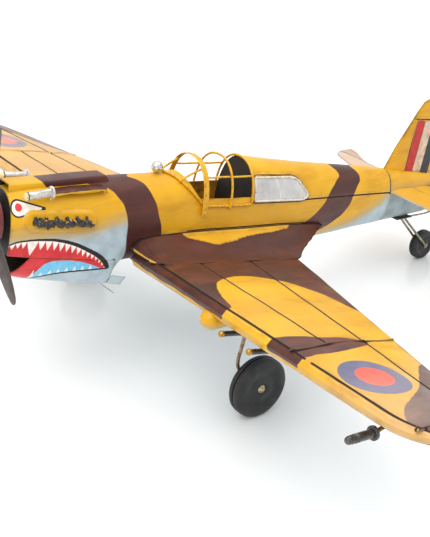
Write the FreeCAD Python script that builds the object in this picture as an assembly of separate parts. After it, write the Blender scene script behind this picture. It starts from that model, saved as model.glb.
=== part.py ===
import FreeCAD, Part
import math, os

# Hand-made sheet-metal model of a single-engined low-wing fighter, standing
# on its wheels.  Everything is drawn in the aircraft's own axes (X port,
# Y aft from the spinner tip along the thrust line, Z up), then tilted
# nose-up and set on the ground with the box centre at X = Y = 0, Z = 0.
V = FreeCAD.Vector

# ---------------------------------------------------------------- dimensions
GROUND_ANGLE = 10.78      # nose-up attitude on the wheels, degrees
SKIN = 0.8                # sheet thickness, mm
WIRE = 1.5                # canopy wire diameter
STRIP_W = 3.4             # flat windscreen strip width
STRIP_T = 0.7             # flat windscreen strip thickness

NOSE_Y = 37.0             # front edge of the cowling sheet
CHIN_END_Y = 112.0        # rear edge of the chin sheet
FIREWALL_Y = 112.0
TAIL_SEAM_Y = 372.5       # bulkhead seam ahead of the tail
TAIL_END_Y = 433.0        # rudder post
BOW_Y = 176.3             # windscreen strip arch
MID_ARCH_Y = 198.5        # middle wire arch
REAR_ARCH_Y = 219.2       # arch at the front of the turtle deck
SILL_Z = 13.6             # cockpit sill
DECK_Z = 9.2              # lower edge of the turtle deck sheet

PROP_Y = 29.6             # plane of the blades
BLADE_R = 58.6            # blade tip radius
BLADE_PHASE = 7.4         # degrees from straight up towards port
SPINNER_R = 16.2
SPINNER_LEN = 33.0
SHAFT_R = 1.5
SHAFT_FIT = 0.05          # radial running clearance

WHEEL_X = 100.6           # middle of the port main wheel
WHEEL_X_STBD = 136.0      # middle of the starboard one: both wire legs lean to starboard
WHEEL_Y = 181.6
WHEEL_Z = -87.518
WHEEL_R = 21.0
WHEEL_W = 9.6
AXLE_R = 1.2
TAIL_WHEEL_Y = 445.8
TAIL_WHEEL_R = 13.1
TAIL_WHEEL_W = 7.0
TAIL_AXLE_R = 0.9

HALF_SPAN = 286.0         # wing tip
TIP_START = 250.0         # where the rounded tip begins
WING_IN = 22.6            # inner end of the upper wing sheet
STAB_ROLL = -0.10         # rise of the tailplane per mm outboard to port

th = math.radians(GROUND_ANGLE)
ct, st = math.cos(th), math.sin(th)

def ground_height(y, z):
    return -y * st + z * ct

FLOOR = ground_height(WHEEL_Y, WHEEL_Z) - WHEEL_R
# the tail wheel touches the same ground plane
TAIL_WHEEL_Z = (FLOOR + TAIL_WHEEL_R + TAIL_WHEEL_Y * st) / ct

parts = {}

# ------------------------------------------------------------------ helpers
def lerp(a, b, t):
    return a + (b - a) * t

def table(rows, y):
    if y <= rows[0][0]:
        return rows[0][1:]
    for a, b in zip(rows, rows[1:]):
        if y <= b[0]:
            t = (y - a[0]) / (b[0] - a[0])
            return [lerp(p, q, t) for p, q in zip(a[1:], b[1:])]
    return rows[-1][1:]

def sup_point(w, zm, zt, zb, nt, nb, t, inset=0.0):
    c, s = math.cos(t), math.sin(t)
    e = nt if s >= 0 else nb
    h = (zt - zm) if s >= 0 else (zm - zb)
    x = (w - inset) * math.copysign(abs(c) ** (2.0 / e), c)
    z = zm + (h - inset) * math.copysign(abs(s) ** (2.0 / e), s)
    return x, z

def ring(y, row, inset=0.0, n=36):
    w, zm, zt, zb, nt, nb = row
    pts = []
    for i in range(n):
        t = 2 * math.pi * (i + 0.5) / n
        x, z = sup_point(w, zm, zt, zb, nt, nb, t, inset)
        pts.append(V(x, y, z))
    b = Part.BSplineCurve()
    b.interpolate(pts, PeriodicFlag=True)
    return Part.Wire(b.toShape())

def tube_of(rows, ys, inset=0.0):
    return Part.makeLoft([ring(y, table(rows, y), inset) for y in ys], True, True)

def poly_loft(sections, ruled=True):
    wires = []
    for pts in sections:
        p = [V(*q) for q in pts]
        wires.append(Part.makePolygon(p + [p[0]]))
    return Part.makeLoft(wires, True, ruled)

def box(x0, y0, z0, x1, y1, z1):
    return Part.makeBox(x1 - x0, y1 - y0, z1 - z0, V(x0, y0, z0))

def cyl(p, d, r, h):
    return Part.makeCylinder(r, h, V(*p), V(*d))

def rod(p, q, r):
    p, q = V(*p), V(*q)
    d = q.sub(p)
    return Part.makeCylinder(r, d.Length, p, d)

def wire_path(pts, r):
    """Round wire along a polyline: straight runs with ball joints."""
    s = None
    for a, b in zip(pts, pts[1:]):
        c = rod(a, b, r)
        s = c if s is None else s.fuse(c)
    for p in pts[1:-1]:
        s = s.fuse(Part.makeSphere(r, V(*p)))
    return s.removeSplitter()

def mirror(s):
    return s.mirror(V(0, 0, 0), V(1, 0, 0))

def extrude_yz(pts, x0, x1):
    p = [V(x0, a, b) for a, b in pts]
    f = Part.Face(Part.makePolygon(p + [p[0]]))
    return f.extrude(V(x1 - x0, 0, 0))

def solid_of(s):
    return max(s.Solids, key=lambda k: k.Volume)

# ----------------------------------------------------------------- fuselage
# rows: y, half width, height of widest point, top, bottom, top power, bottom power
NOSE = [
 (37.0, 17.9, -3.0, 20.2, -33.5, 2.3, 2.5),
 (50.0, 19.0, -4.0, 21.6, -37.5, 2.3, 2.6),
 (75.0, 20.3, -5.5, 23.3, -42.0, 2.2, 2.7),
 (100.0, 21.0, -6.5, 24.8, -46.5, 2.1, 2.7),
 (112.0, 21.2, -7.0, 25.4, -48.0, 2.1, 2.7),
]
BODY = [
 (112.0, 21.2, -7.0, 25.4, -33.0, 2.1, 2.8),
 (126.0, 21.5, -7.0, 25.9, -30.2, 2.1, 2.7),
 (150.0, 21.75, -5.0, 26.6, -29.6, 2.1, 2.6),
 (176.3, 21.75, -4.0, 29.5, -29.6, 2.1, 2.5),
 (198.5, 21.7, -3.0, 34.0, -29.6, 2.2, 2.4),
 (219.2, 21.5, -2.5, 37.2, -29.6, 2.3, 2.4),
 (250.0, 20.2, -1.5, 34.6, -29.2, 2.3, 2.3),
 (276.5, 18.9, -0.5, 32.3, -28.2, 2.3, 2.2),
 (305.0, 17.0, 1.0, 30.4, -27.0, 2.2, 2.2),
 (345.0, 14.6, 2.0, 27.8, -22.4, 2.2, 2.2),
 (372.5, 13.2, 3.0, 25.6, -19.6, 2.2, 2.2),
]
TAIL = [
 (372.5, 13.2, 3.0, 25.6, -19.6, 2.2, 2.2),
 (400.0, 10.2, 4.0, 23.4, -16.8, 2.2, 2.2),
 (433.0, 5.4, 4.0, 20.6, -13.8, 2.2, 2.2),
]

def chin_seam_z(y):
    return -19.4 - 0.098 * (y - 52.0)

nose_ys = [37.0, 50.0, 75.0, 100.0, 112.0]
body_ys = [r[0] for r in BODY]
tail_ys = [372.5, 400.0, 433.0]

nose_out = tube_of(NOSE, nose_ys)
nose_in = tube_of(NOSE, nose_ys, SKIN)
body_out = tube_of(BODY, body_ys)
body_in = tube_of(BODY, body_ys, SKIN)

nose_shell = nose_out.cut(nose_in)
body_shell = body_out.cut(body_in)

# upper nose sheet ends at the chin seam, which runs slightly downhill
seam_cut = extrude_yz([(30, chin_seam_z(30)), (112.0, chin_seam_z(112.0)), (112.0, -70), (30, -70)], -40, 40)
upper_nose = nose_shell.cut(seam_cut)
chin = nose_shell.common(extrude_yz([(41.0, chin_seam_z(41.0) - 0.05), (112.0, chin_seam_z(112.0) - 0.05), (112.0, -70), (41.0, -70)], -40, 40))

# cockpit opening: rounded at the front, down to the sill
opening_front = []
for i in range(0, 13):
    a = math.pi * i / 12
    opening_front.append(V(19.5 * math.cos(a), 178.0 - 13.0 * math.sin(a), 0))
outline = opening_front + [V(-24.0, 178.0, 0), V(-24.0, REAR_ARCH_Y, 0), V(24.0, REAR_ARCH_Y, 0), V(24.0, 178.0, 0)]
front_face = Part.Face(Part.makePolygon(outline + [outline[0]]))
front_face.translate(V(0, 0, SILL_Z))
cockpit_cut = front_face.extrude(V(0, 0, 60))
# the turtle deck is its own sheet behind the rear arch
deck_zone = box(-40, REAR_ARCH_Y, DECK_Z, 40, TAIL_SEAM_Y, 60)
lower_body = body_shell.cut(cockpit_cut).cut(deck_zone)
# two sheets butted at the firewall
upper_nose = upper_nose.common(box(-40, 30, -70, 40, 111.96, 60))
parts["fuselage_skin"] = Part.makeCompound([solid_of(upper_nose), solid_of(lower_body)])
parts["chin_cowl"] = solid_of(chin)
deck = body_shell.common(box(-40, REAR_ARCH_Y, DECK_Z + 0.05, 40, TAIL_SEAM_Y, 60))
parts["turtle_deck"] = solid_of(deck)

# nose plate behind the spinner, carrying the propeller bush
nose_slab = tube_of(NOSE, nose_ys, SKIN + 0.05).common(box(-40, NOSE_Y + 0.6, chin_seam_z(39), 40, NOSE_Y + 2.0, 40))
plate = solid_of(nose_slab).cut(cyl((0, 30, 0), (0, 1, 0), 3.0, 20))
parts["nose_plate"] = solid_of(plate)
bush = cyl((0, NOSE_Y - 1.2, 0), (0, 1, 0), 3.0, 14.0).fuse(cyl((0, NOSE_Y - 1.2, 0), (0, 1, 0), 4.4, 1.7))
bush = bush.cut(cyl((0, 20, 0), (0, 1, 0), SHAFT_R + SHAFT_FIT, 60))
parts["shaft_bush"] = solid_of(bush.cut(parts["nose_plate"]))

# rear bulkhead behind the pilot's seat space
bulk = tube_of(BODY, body_ys, SKIN + 0.05).common(box(-40, REAR_ARCH_Y + 0.5, -40, 40, REAR_ARCH_Y + 1.5, 60))
parts["rear_bulkhead"] = solid_of(bulk)
floor_in = tube_of(BODY, body_ys, SKIN + 0.05).common(box(-40, 158.0, -12.0, 40, REAR_ARCH_Y + 0.45, -11.0))
parts["cockpit_floor"] = solid_of(floor_in)

# tail cone: closed sheet cone behind the bulkhead seam
tail_out = tube_of(TAIL, tail_ys)
tail_in = tube_of(TAIL, tail_ys, SKIN)
tail_shell = tail_out.cut(tail_in.common(box(-40, 373.4, -60, 40, 432.2, 60)))
tail_shell = tail_shell.common(box(-40, TAIL_SEAM_Y + 0.1, -60, 40, TAIL_END_Y, 60))
parts["tail_cone"] = solid_of(tail_shell)

# half width of the skin at a given station and height
def fus_x(rows, y, z, inset=0.0):
    w, zm, zt, zb, nt, nb = table(rows, y)
    w -= inset
    if z >= zm:
        r = min(1.0, (z - zm) / (zt - inset - zm)); e = nt
    else:
        r = min(1.0, (zm - z) / (zm - zb - inset)); e = nb
    return w * max(0.0, 1 - r ** e) ** (1.0 / e)

nose_pad = tube_of(NOSE, nose_ys, -0.03)
body_pad = tube_of(BODY, body_ys, -0.03)
fus_pad = nose_pad.fuse(body_pad)

# gun fairings: a folded ledge along each shoulder of the nose
def ledge():
    secs = []
    for y, ax, az, bx, bz in ((62.6, 17.0, 21.0, 16.9, 18.3), (80.0, 16.6, 22.2, 16.6, 19.8), (100.5, 15.8, 22.9, 15.9, 20.6)):
        secs.append([(8.2, y, az - 0.2), (ax, y, az), (bx, y, bz), (9.5, y, bz - 5.0)])
    return poly_loft(secs)
scoop_zone = box(-7.3, 30, 10, 7.3, 115, 40)
gf = solid_of(ledge().cut(fus_pad).cut(scoop_zone))
parts["gun_fairings"] = Part.makeCompound([gf, mirror(gf)])

# machine gun sleeves standing on the shoulders, flanges against the fairings
def nose_gun(droop):
    x, z = 17.2, 21.6
    d = V(0, 1, droop)
    def at(y):
        return (x, y, z + droop * (y - 61.4))
    s = cyl(at(46.2), d, 2.5, 15.2)
    s = s.fuse(cyl(at(61.2), d, 4.0, 1.1))
    s = s.fuse(cyl(at(62.0), d, 1.6, 6.0))
    s = s.fuse(Part.makeSphere(2.5, V(*at(46.2))))
    s = s.fuse(cyl((x - 2.2, 61.7, z - 5.2), (0.42, 0, 1), 0.6, 4.0))
    return solid_of(s.cut(fus_pad).cut(gf))
parts["nose_gun_port"] = nose_gun(0.12)
parts["nose_gun_starboard"] = mirror(nose_gun(-0.03))

# air intake: inverted channel on top of the nose
def scoop_ring(y, w, zlo, zhi, t):
    return [(w - t, y, zlo), (w - t, y, zhi - t - 0.9), (w - t - 0.9, y, zhi - t), (-(w - t - 0.9), y, zhi - t),
            (-(w - t), y, zhi - t - 0.9), (-(w - t), y, zlo)]
scoop_rows = [(39.5, 6.9, 24.3), (64.0, 6.9, 25.3), (81.0, 6.8, 26.6), (101.0, 6.6, 27.7), (109.5, 6.2, 28.0)]
so = poly_loft([scoop_ring(y, w, 12.0, z, 0.0) for y, w, z in scoop_rows])
so = so.cut(extrude_yz([(106.0, 20.0), (110.5, 30.0), (116.0, 30.0), (116.0, 20.0)], -10, 10))
si = poly_loft([scoop_ring(y, w, 11.0, z, SKIN) for y, w, z in [(38.5, 6.9, 24.25)] + scoop_rows[1:4] + [(104.8, 6.4, 27.8)]])
parts["intake_scoop"] = solid_of(so.cut(si).cut(fus_pad))

# exhaust pressings and stacks on both flanks
def oval(x0, x1, y0, y1, z, dz, hh):
    r = hh
    e = []
    a, b = V(x0, y0 + r, z), V(x0, y1 - r, z + dz)
    up = V(0, 0, r)
    l1 = Part.LineSegment(a + up, b + up).toShape()
    arc1 = Part.Arc(b + up, b + V(0, r, 0), b - up).toShape()
    l2 = Part.LineSegment(b - up, a - up).toShape()
    arc2 = Part.Arc(a - up, a - V(0, r, 0), a + up).toShape()
    return Part.Face(Part.Wire([l1, arc1, l2, arc2])).extrude(V(x1 - x0, 0, 0))
panel = oval(10, 30, 44.0, 95.0, 4.0, -1.2, 7.2).common(tube_of(NOSE, nose_ys, -1.1)).cut(fus_pad)
panel = solid_of(panel)
parts["exhaust_panel_port"] = panel
parts["exhaust_panel_starboard"] = mirror(panel)
panel_pad = tube_of(NOSE, nose_ys, -1.13)
def stack():
    s = None
    for i in range(6):
        y = 50.5 + 7.2 * i
        z = 4.0 - 0.16 * i
        x = fus_x(NOSE, y, z) + 1.0
        p = rod((x - 0.6, y, z + 1.4), (x + 2.6, y + 3.4, z - 0.6), 2.3)
        q = Part.makeSphere(2.35, V(x + 2.2, y + 3.4, z - 0.8))
        s = p.fuse(q) if s is None else s.fuse(p).fuse(q)
    s = s.fuse(rod((fus_x(NOSE, 49, 4) + 1.6, 49.0, 3.4), (fus_x(NOSE, 90, 3) + 1.6, 90.5, 2.6), 1.9))
    return solid_of(s.cut(panel_pad))
ex = stack()
parts["exhaust_stack_port"] = ex
parts["exhaust_stack_starboard"] = mirror(ex)

# radiator outlet flaps hinged open behind the chin
def flap(p0, p1, drop, back, t=0.7):
    (xa, za), (xb, zb_) = p0, p1
    y0 = CHIN_END_Y + 0.05
    nx, nz = -(zb_ - za), (xb - xa)
    L = math.hypot(nx, nz); nx, nz = nx / L * t, nz / L * t
    def sec(y, k):
        return [(xa + k[0], y, za + k[1]), (xb + k[0], y, zb_ + k[1]),
                (xb + k[0] + nx, y, zb_ + k[1] + nz), (xa + k[0] + nx, y, za + k[1] + nz)]
    return poly_loft([sec(y0, (0, 0)), sec(y0 + back, drop)])
f1 = flap((18.4, -36.2), (12.6, -43.8), (1.2, -1.6), 10.0)
f2 = flap((6.0, -46.6), (-6.0, -46.6), (0.0, -8.6), 12.0)
f3 = mirror(f1)
parts["cowl_flaps"] = Part.makeCompound([solid_of(f) for f in (f1, f2, f3)])

# sight bead on a short post ahead of the windscreen
bead = Part.makeSphere(4.1, V(0, 148.2, 31.0)).fuse(rod((0, 149.0, 25.6), (0, 148.6, 28.5), 1.5))
bead = bead.cut(Part.makeTorus(4.25, 0.28, V(0, 148.2, 31.0), V(0.25, 1, 0)))
parts["gunsight_bead"] = solid_of(bead.cut(fus_pad))

# ------------------------------------------------------------------- canopy
BASE = [(0, 153.8, 27.4), (4.0, 156.0, 27.2), (8.0, 158.8, 26.2), (12.0, 161.2, 24.2), (16.2, 165.2, 20.4),
        (19.2, 170.8, 14.9), (20.9, 176.5, 9.4)]
def on_skin(p, off):
    """Move a point sideways so that a wire of radius off rests on the flank."""
    x, y, z = p
    xs = fus_x(BODY, y, z)
    return (max(x, xs + off), y, z)
side = [on_skin((20.9, 176.5, 9.2), 0.85), on_skin((20.9, 198.5, 8.6), 0.85), on_skin((20.9, 216.8, 8.9), 0.85)]
port = [(x, y, z + 0.5) for x, y, z in BASE[:-1]] + side
star = [(-x, y, z) for x, y, z in port]
base_pts = list(reversed(star)) + port[1:]
base_rail = wire_path(base_pts, 0.75).cut(body_pad)
parts["canopy_base_rail"] = max(base_rail.Solids, key=lambda k: k.Volume)

def arch_pts(y, w, z0, h, n, foot):
    pts = []
    N = 22
    for i in range(N + 1):
        t = math.pi * i / N
        c, s = math.cos(t), math.sin(t)
        x = w * math.copysign(abs(c) ** (2.0 / n), c)
        z = z0 + h * abs(s) ** (2.0 / n)
        pts.append((x, y, z))
    return [(w, y, foot)] + pts[1:-1] + [(-w, y, foot)]

def strip_arch(y, w, z0, h, n, foot, width, t):
    out = arch_pts(y, w, z0, h, n, foot)
    inn = arch_pts(y, w - t, z0, h - t, n, foot)
    loop = out + list(reversed(inn))
    p = [V(a[0], y - width / 2, a[2]) for a in loop]
    return Part.Face(Part.makePolygon(p + [p[0]])).extrude(V(0, width, 0))

pad_wires = parts["canopy_base_rail"]
bow = strip_arch(BOW_Y, 23.3, 3.6, 36.0, 2.35, 3.6, STRIP_W, STRIP_T).cut(body_pad).cut(wire_path(base_pts, 0.80))
parts["windscreen_bow"] = solid_of(bow)
mid = wire_path(arch_pts(MID_ARCH_Y, 22.6, 8.2, 31.4, 2.3, 6.8), 0.7).cut(body_pad).cut(wire_path(base_pts, 0.80))
parts["canopy_mid_arch"] = solid_of(mid)
rear = wire_path(arch_pts(REAR_ARCH_Y - 1.0, 21.4, 8.2, 29.6, 2.3, 8.2), 0.75)
rear = rear.cut(body_pad.common(box(-40, 100, -60, 40, REAR_ARCH_Y - 2.0, SILL_Z)))
rear = rear.common(box(-40, 100, 9.9, 40, REAR_ARCH_Y - 0.05, 60)).cut(wire_path(base_pts, 0.80)).cut(parts["fuselage_skin"])
parts["canopy_rear_arch"] = solid_of(rear)
posts = []
for sgn in (1, -1):
    p = rod((sgn * 12.4, 160.6, 24.9), (sgn * 13.4, BOW_Y - STRIP_W / 2 - 0.05, 33.0), 0.65)
    posts.append(solid_of(p.cut(fus_pad).cut(wire_path(base_pts, 0.80)).cut(parts["windscreen_bow"])))
parts["windscreen_posts"] = Part.makeCompound(posts)
rails = []
for sgn in (1, -1):
    def rx(y):
        return 16.9
    a = rod((sgn * 16.6, BOW_Y + STRIP_W / 2 + 0.05, 27.7), (sgn * 16.6, REAR_ARCH_Y - 1.8, 27.7), 0.6)
    a = a.cut(parts["canopy_mid_arch"]).cut(parts["windscreen_bow"]).cut(parts["canopy_rear_arch"])
    rails += [k for k in a.Solids if k.Volume > 3]
parts["canopy_side_rails"] = Part.makeCompound(rails)

# rear quarter windows: bright panels in a wire frame on the turtle deck
def window_zone(x0, x1, grow):
    g = grow
    pts = [(221.5 - g, 10.6 - g), (268.5 + 0.3 * g, 9.6 - g), (273.2 + g, 12.6), (273.6 + g, 17.0), (268.0 + g, 22.5), (258.6, 25.2 + g), (221.5 - g, 26.8 + g)]
    return extrude_yz(pts, x0, x1)
deck_pad1 = tube_of(BODY, body_ys, -0.55)
deck_pad2 = tube_of(BODY, body_ys, -1.5)
panel_w = deck_pad1.cut(body_pad).common(window_zone(5, 40, 0))
frame_w = deck_pad2.cut(body_pad).common(window_zone(5, 40, 1.4)).cut(window_zone(5, 40, 0.03))
parts["rear_window_port"] = solid_of(panel_w)
parts["rear_window_starboard"] = mirror(parts["rear_window_port"])
parts["window_frame_port"] = solid_of(frame_w)
parts["window_frame_starboard"] = mirror(parts["window_frame_port"])

# --------------------------------------------------------------------- wing
def wing_lines(x):
    """(y, z) of the fold lines of the wing section at a distance x out."""
    L = (127.2 - 0.052 * x, -18.9 + 0.042 * x)
    A = (160.5 - 0.097 * x, -20.3 + 0.051 * x)
    B = (209.5 - 0.213 * x, -22.5 + 0.050 * x)
    T = (262.3 - 0.366 * x, -25.2 + 0.054 * x)
    E = (138.2 - 0.063 * x, -34.6 + 0.060 * x)
    M = (A[0] + 6.0, -35.2 + 0.060 * x)
    N = (B[0], -31.6 + 0.060 * x)
    F = (L[0] - 3.2, lerp(L[1], E[1], 0.34))
    G = (L[0] - 0.6, lerp(L[1], E[1], 0.72))
    return L, A, B, T, E, M, N, F, G

def tip_k(x):
    if x <= TIP_START:
        return 1.0
    r = (x - TIP_START) / (HALF_SPAN + 0.4 - TIP_START)
    return math.sqrt(max(0.0, 1 - r ** 2.3))

def squeeze(pts, x):
    k = tip_k(x)
    if k == 1.0:
        return pts
    L, A, B, T, E, M, N, F, G = wing_lines(x)
    cy = lerp(L[0], T[0], 0.62)
    cz = lerp(L[1], T[1], 0.62) - 1.5
    kz = 0.25 + 0.75 * k if k > 0.2 else 0.4 * max(k, 0.16) / 0.2
    return [(cy + (a - cy) * k, cz + (b - cz) * min(1.0, kz)) for a, b in pts]

WX = [WING_IN, 55.0, 120.0, 185.0, TIP_START, 262.0, 272.0, 279.0, 283.5, HALF_SPAN]
t = SKIN
def upper_poly(x):
    L, A, B, T, E, M, N, F, G = wing_lines(x)
    return squeeze([L, A, B, T, (T[0] - 1.2, T[1] - t), (B[0], B[1] - t), (A[0], A[1] - t), (L[0] + 0.1, L[1] - t)], x)
def le_poly(x):
    L, A, B, T, E, M, N, F, G = wing_lines(x)
    return squeeze([(L[0] - 0.05, L[1]), F, G, E, (E[0] + 0.1, E[1] + t), (G[0] + t, G[1] + 0.3), (F[0] + t, F[1]), (L[0] - 0.05, L[1] - t)], x)
def lower_poly(x):
    L, A, B, T, E, M, N, F, G = wing_lines(x)
    return squeeze([(E[0] + 0.15, E[1]), (M[0], M[1]), (N[0], N[1]), (T[0] - 0.5, T[1] - 2 * t - 0.1), (T[0] - 0.5, T[1] - t - 0.1),
                    (N[0], N[1] + t), (M[0], M[1] + t), (E[0] + 0.15, E[1] + t)], x)
def outer_poly(x, g=0.03):
    L, A, B, T, E, M, N, F, G = wing_lines(x)
    pts = [(L[0] - g, L[1] + g), (A[0], A[1] + g), (B[0], B[1] + g), (T[0] + g, T[1] + g), (T[0] + g, T[1] - 2 * t - 0.1 - g),
           (N[0], N[1] - g), (M[0], M[1] - g), (E[0], E[1] - g), (G[0] - g, G[1] - g), (F[0] - g, F[1])]
    return squeeze(pts, x)

def wing_loft(f, xs):
    return poly_loft([[(x, a, b) for a, b in f(x)] for x in xs])

upper = wing_loft(upper_poly, WX)
parts["wing_upper_skin_port"] = solid_of(upper)
parts["wing_upper_skin_starboard"] = mirror(parts["wing_upper_skin_port"])
le = wing_loft(le_poly, WX)
parts["leading_edge_port"] = solid_of(le)
parts["leading_edge_starboard"] = mirror(parts["leading_edge_port"])
lower_p = wing_loft(lower_poly, [0.0] + WX)
lower_skin = solid_of(lower_p.fuse(mirror(lower_p)))
wing_out = wing_loft(outer_poly, [0.0] + WX)
body_clear = tube_of(BODY, body_ys, -0.05)
parts["wing_lower_skin"] = solid_of(lower_skin.cut(body_clear))

def spar_sec(x):
    L, A, B, T, E, M, N, F, G = wing_lines(x)
    y0 = lerp(E[0], A[0], 0.55)
    z0 = lerp(E[1], M[1], 0.5) + t + 0.25
    top = lerp(L[1], A[1], 0.6) - t - 0.25
    top = min(top, -30.2) if x < WING_IN else top
    return [(x, y0, z0), (x, y0 + 3.0, z0), (x, y0 + 3.0, top), (x, y0, top)]
spar = poly_loft([spar_sec(0.0), spar_sec(22.0), spar_sec(23.5), spar_sec(235.0)])
spar_all = solid_of(spar.fuse(mirror(spar)))
parts["wing_spar"] = solid_of(spar_all.cut(body_clear))

def wing_top(x, y):
    L, A, B, T, E, M, N, F, G = wing_lines(x)
    pts = [L, A, B, T]
    if y <= L[0]:
        return L[1] - (L[0] - y) * 1.2
    for a, b in zip(pts, pts[1:]):
        if y <= b[0]:
            return lerp(a[1], b[1], (y - a[0]) / (b[0] - a[0]))
    return T[1] + (y - T[0]) * 0.12

# wing root fillets: curved sheet from the flank out over the wing
FIL = [  # y, height on the flank, outer x
 (121.0, -17.2, 44.0), (127.5, -11.5, 54.0), (144.0, -9.0, 55.0), (182.0, -8.2, 54.2), (215.0, -8.4, 53.6), (242.0, -8.6, 53.0),
 (256.0, -8.9, 44.0), (272.0, -9.8, 34.0), (286.0, -10.8, 25.0), (296.0, -11.6, 18.9)]
def fil_sec(y, zf, xo):
    xi = fus_x(BODY, y, zf) + 0.15
    zo = wing_top(xo, y) + 0.08
    if y > 243:
        zo = lerp(-22.3, zf, (y - 243) / (296.0 - 243)) + 0.1
    lo, hi = [], []
    n = 7
    for i in range(n + 1):
        u = i / n
        x = lerp(xi, xo, u)
        z = lerp(zf, zo, 1 - (1 - u) ** 1.7)
        if 0 < i < n:
            z = max(z, wing_top(max(x, WING_IN), y) + 0.15) if y <= 243 else z
        lo.append((x, y, z)); hi.append((x, y, z + (0.8 if i < n else 0.45)))
    return lo + list(reversed(hi))
fil = poly_loft([fil_sec(*r) for r in FIL])
fil = solid_of(fil.cut(body_clear).cut(wing_out))
parts["root_fillet_port"] = fil
parts["root_fillet_starboard"] = mirror(fil)

# undercarriage fairing bullets under the leading edge
gx, gy, gz, gr = 106.0, 126.8, -29.4, 6.3
bp_prof = [(-gr, 0.0)]
for i in range(1, 11):
    a = math.pi / 2 * i / 10
    bp_prof.append((-gr * math.cos(a), gr * math.sin(a)))
bp_prof += [(12.0, 5.5), (24.0, 4.2)]
for i in range(0, 8):
    a = math.pi / 2 * i / 8
    bp_prof.append((34.0 + 3.2 * math.sin(a), 3.2 * math.cos(a)))
bp_prof.append((37.2, 0.0))
bf = Part.Face(Part.makePolygon([V(0, a, b) for a, b in bp_prof + [bp_prof[0]]]))
bullet = bf.revolve(V(0, 0, 0), V(0, 1, 0), 360)
bullet.rotate(V(0, 0, 0), V(1, 0, 0), math.degrees(math.atan(0.03)))
bullet.translate(V(gx, gy, gz))
bullet = solid_of(bullet.cut(wing_out))
parts["gear_fairing_port"] = bullet
parts["gear_fairing_starboard"] = mirror(bullet)

# wing guns: dark tubes with brass tips
def gun_tube(p, q):
    d = V(*q).sub(V(*p)); d.normalize()
    return rod(p, q, 1.35), Part.makeSphere(1.75, V(*p) - d * 0.9)
gun_ends = [((131.0, 112.6, -26.2), (131.4, 141.0, -28.6)), ((158.0, 112.2, -24.2), (158.4, 139.0, -26.8))]
tubes, tips = [], []
for p, q in gun_ends:
    a, b = gun_tube(p, q)
    a = solid_of(a.cut(wing_out))
    tubes.append(a); tips.append(solid_of(b.cut(a)))
parts["wing_guns_port"] = Part.makeCompound(tubes)
parts["wing_guns_starboard"] = Part.makeCompound([mirror(s) for s in tubes])
parts["gun_tips"] = Part.makeCompound(tips + [mirror(s) for s in tips])

# main undercarriage: one bent wire per side, running up inside the wing spar
def leg_wire(sgn, wheel_x, top_x, knee_x, low_x, foot_x):
    top = (sgn * top_x, 151.0, -27.0)
    knee = (sgn * knee_x, 154.9, -47.0)
    low = (sgn * low_x, 165.2, -75.2)
    foot = (sgn * foot_x, WHEEL_Y, WHEEL_Z)
    return top, knee, low, foot, (sgn * (wheel_x + WHEEL_W / 2 - 1.2), WHEEL_Y, WHEEL_Z)
binds = []
under_pad = parts["wing_lower_skin"].copy()
under_pad.translate(V(0, 0, -0.05))
under_pad = under_pad.fuse(parts["wing_lower_skin"])
for side, sgn, pts in (("port", 1, leg_wire(1, WHEEL_X, 112.0, 108.0, 94.0, 92.6)), ("starboard", -1, leg_wire(-1, WHEEL_X_STBD, 112.0, 114.5, 126.5, 128.0))):
    leg = solid_of(wire_path(list(pts), AXLE_R).cut(wing_out).cut(under_pad))
    parts["gear_leg_" + side] = leg
    # binding of thinner wire round the top of the leg, with a stay to the wing
    at = lambda t: tuple(pts[0][i] + (pts[1][i] - pts[0][i]) * t for i in range(3))
    bind = rod(at(0.36), at(0.92), 1.95)
    stay = rod((sgn * 112.4, 139.0, -26.5), at(0.72), 0.8)
    bind = solid_of(bind.fuse(stay).cut(wing_out).cut(under_pad).cut(parts["gear_fairing_" + side]).cut(wire_path(list(pts[:3]), AXLE_R + 0.01)))
    binds.append(bind)
parts["leg_bindings"] = Part.makeCompound(binds)
def wheel(cx, cy, cz, r, w, bore, hub_r):
    """Solid rubber tyre with a grooved tread and dished sides."""
    h = w / 2
    prof = [(bore, -h + 0.6), (hub_r, -h + 0.6), (hub_r + 0.7, -h + 0.1), (r * 0.48, -h + 1.0), (r * 0.60, -h + 0.2), (r * 0.78, -h),
            (r * 0.92, -h * 0.80), (r * 0.985, -h * 0.52), (r, -h * 0.26), (r, -h * 0.12), (r - 0.6, -h * 0.06)]
    prof = prof + [(a, -b) for a, b in reversed(prof)]
    p = [V(b, a, 0) for a, b in prof]
    f = Part.Face(Part.makePolygon(p + [p[0]]))
    s = f.revolve(V(0, 0, 0), V(1, 0, 0), 360)
    s.translate(V(cx, cy, cz))
    return solid_of(s)
mw = wheel(WHEEL_X, WHEEL_Y, WHEEL_Z, WHEEL_R, WHEEL_W, AXLE_R + SHAFT_FIT, 3.0)
mw = solid_of(mw.cut(cyl((WHEEL_X + WHEEL_W / 2 - 1.3, WHEEL_Y, WHEEL_Z), (1, 0, 0), 2.9, 5.0)))
# peened washers that keep the wheels on
wash = []
for sgn in (1, -1):
    xo = (WHEEL_X if sgn > 0 else WHEEL_X_STBD) + WHEEL_W / 2 - 1.2
    w1 = cyl((sgn * xo, WHEEL_Y, WHEEL_Z), (sgn, 0, 0), 2.3, 0.9).fuse(Part.makeSphere(1.9, V(sgn * (xo + 0.9), WHEEL_Y, WHEEL_Z)).common(
        cyl((sgn * (xo + 0.3), WHEEL_Y, WHEEL_Z), (sgn, 0, 0), 3.0, 4.0)))
    wash.append(w1)
parts["axle_caps"] = Part.makeCompound([solid_of(w) for w in wash])
parts["main_wheel_port"] = mw
mw2 = mirror(mw)
mw2.translate(V(WHEEL_X - WHEEL_X_STBD, 0, 0))
parts["main_wheel_starboard"] = mw2

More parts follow.
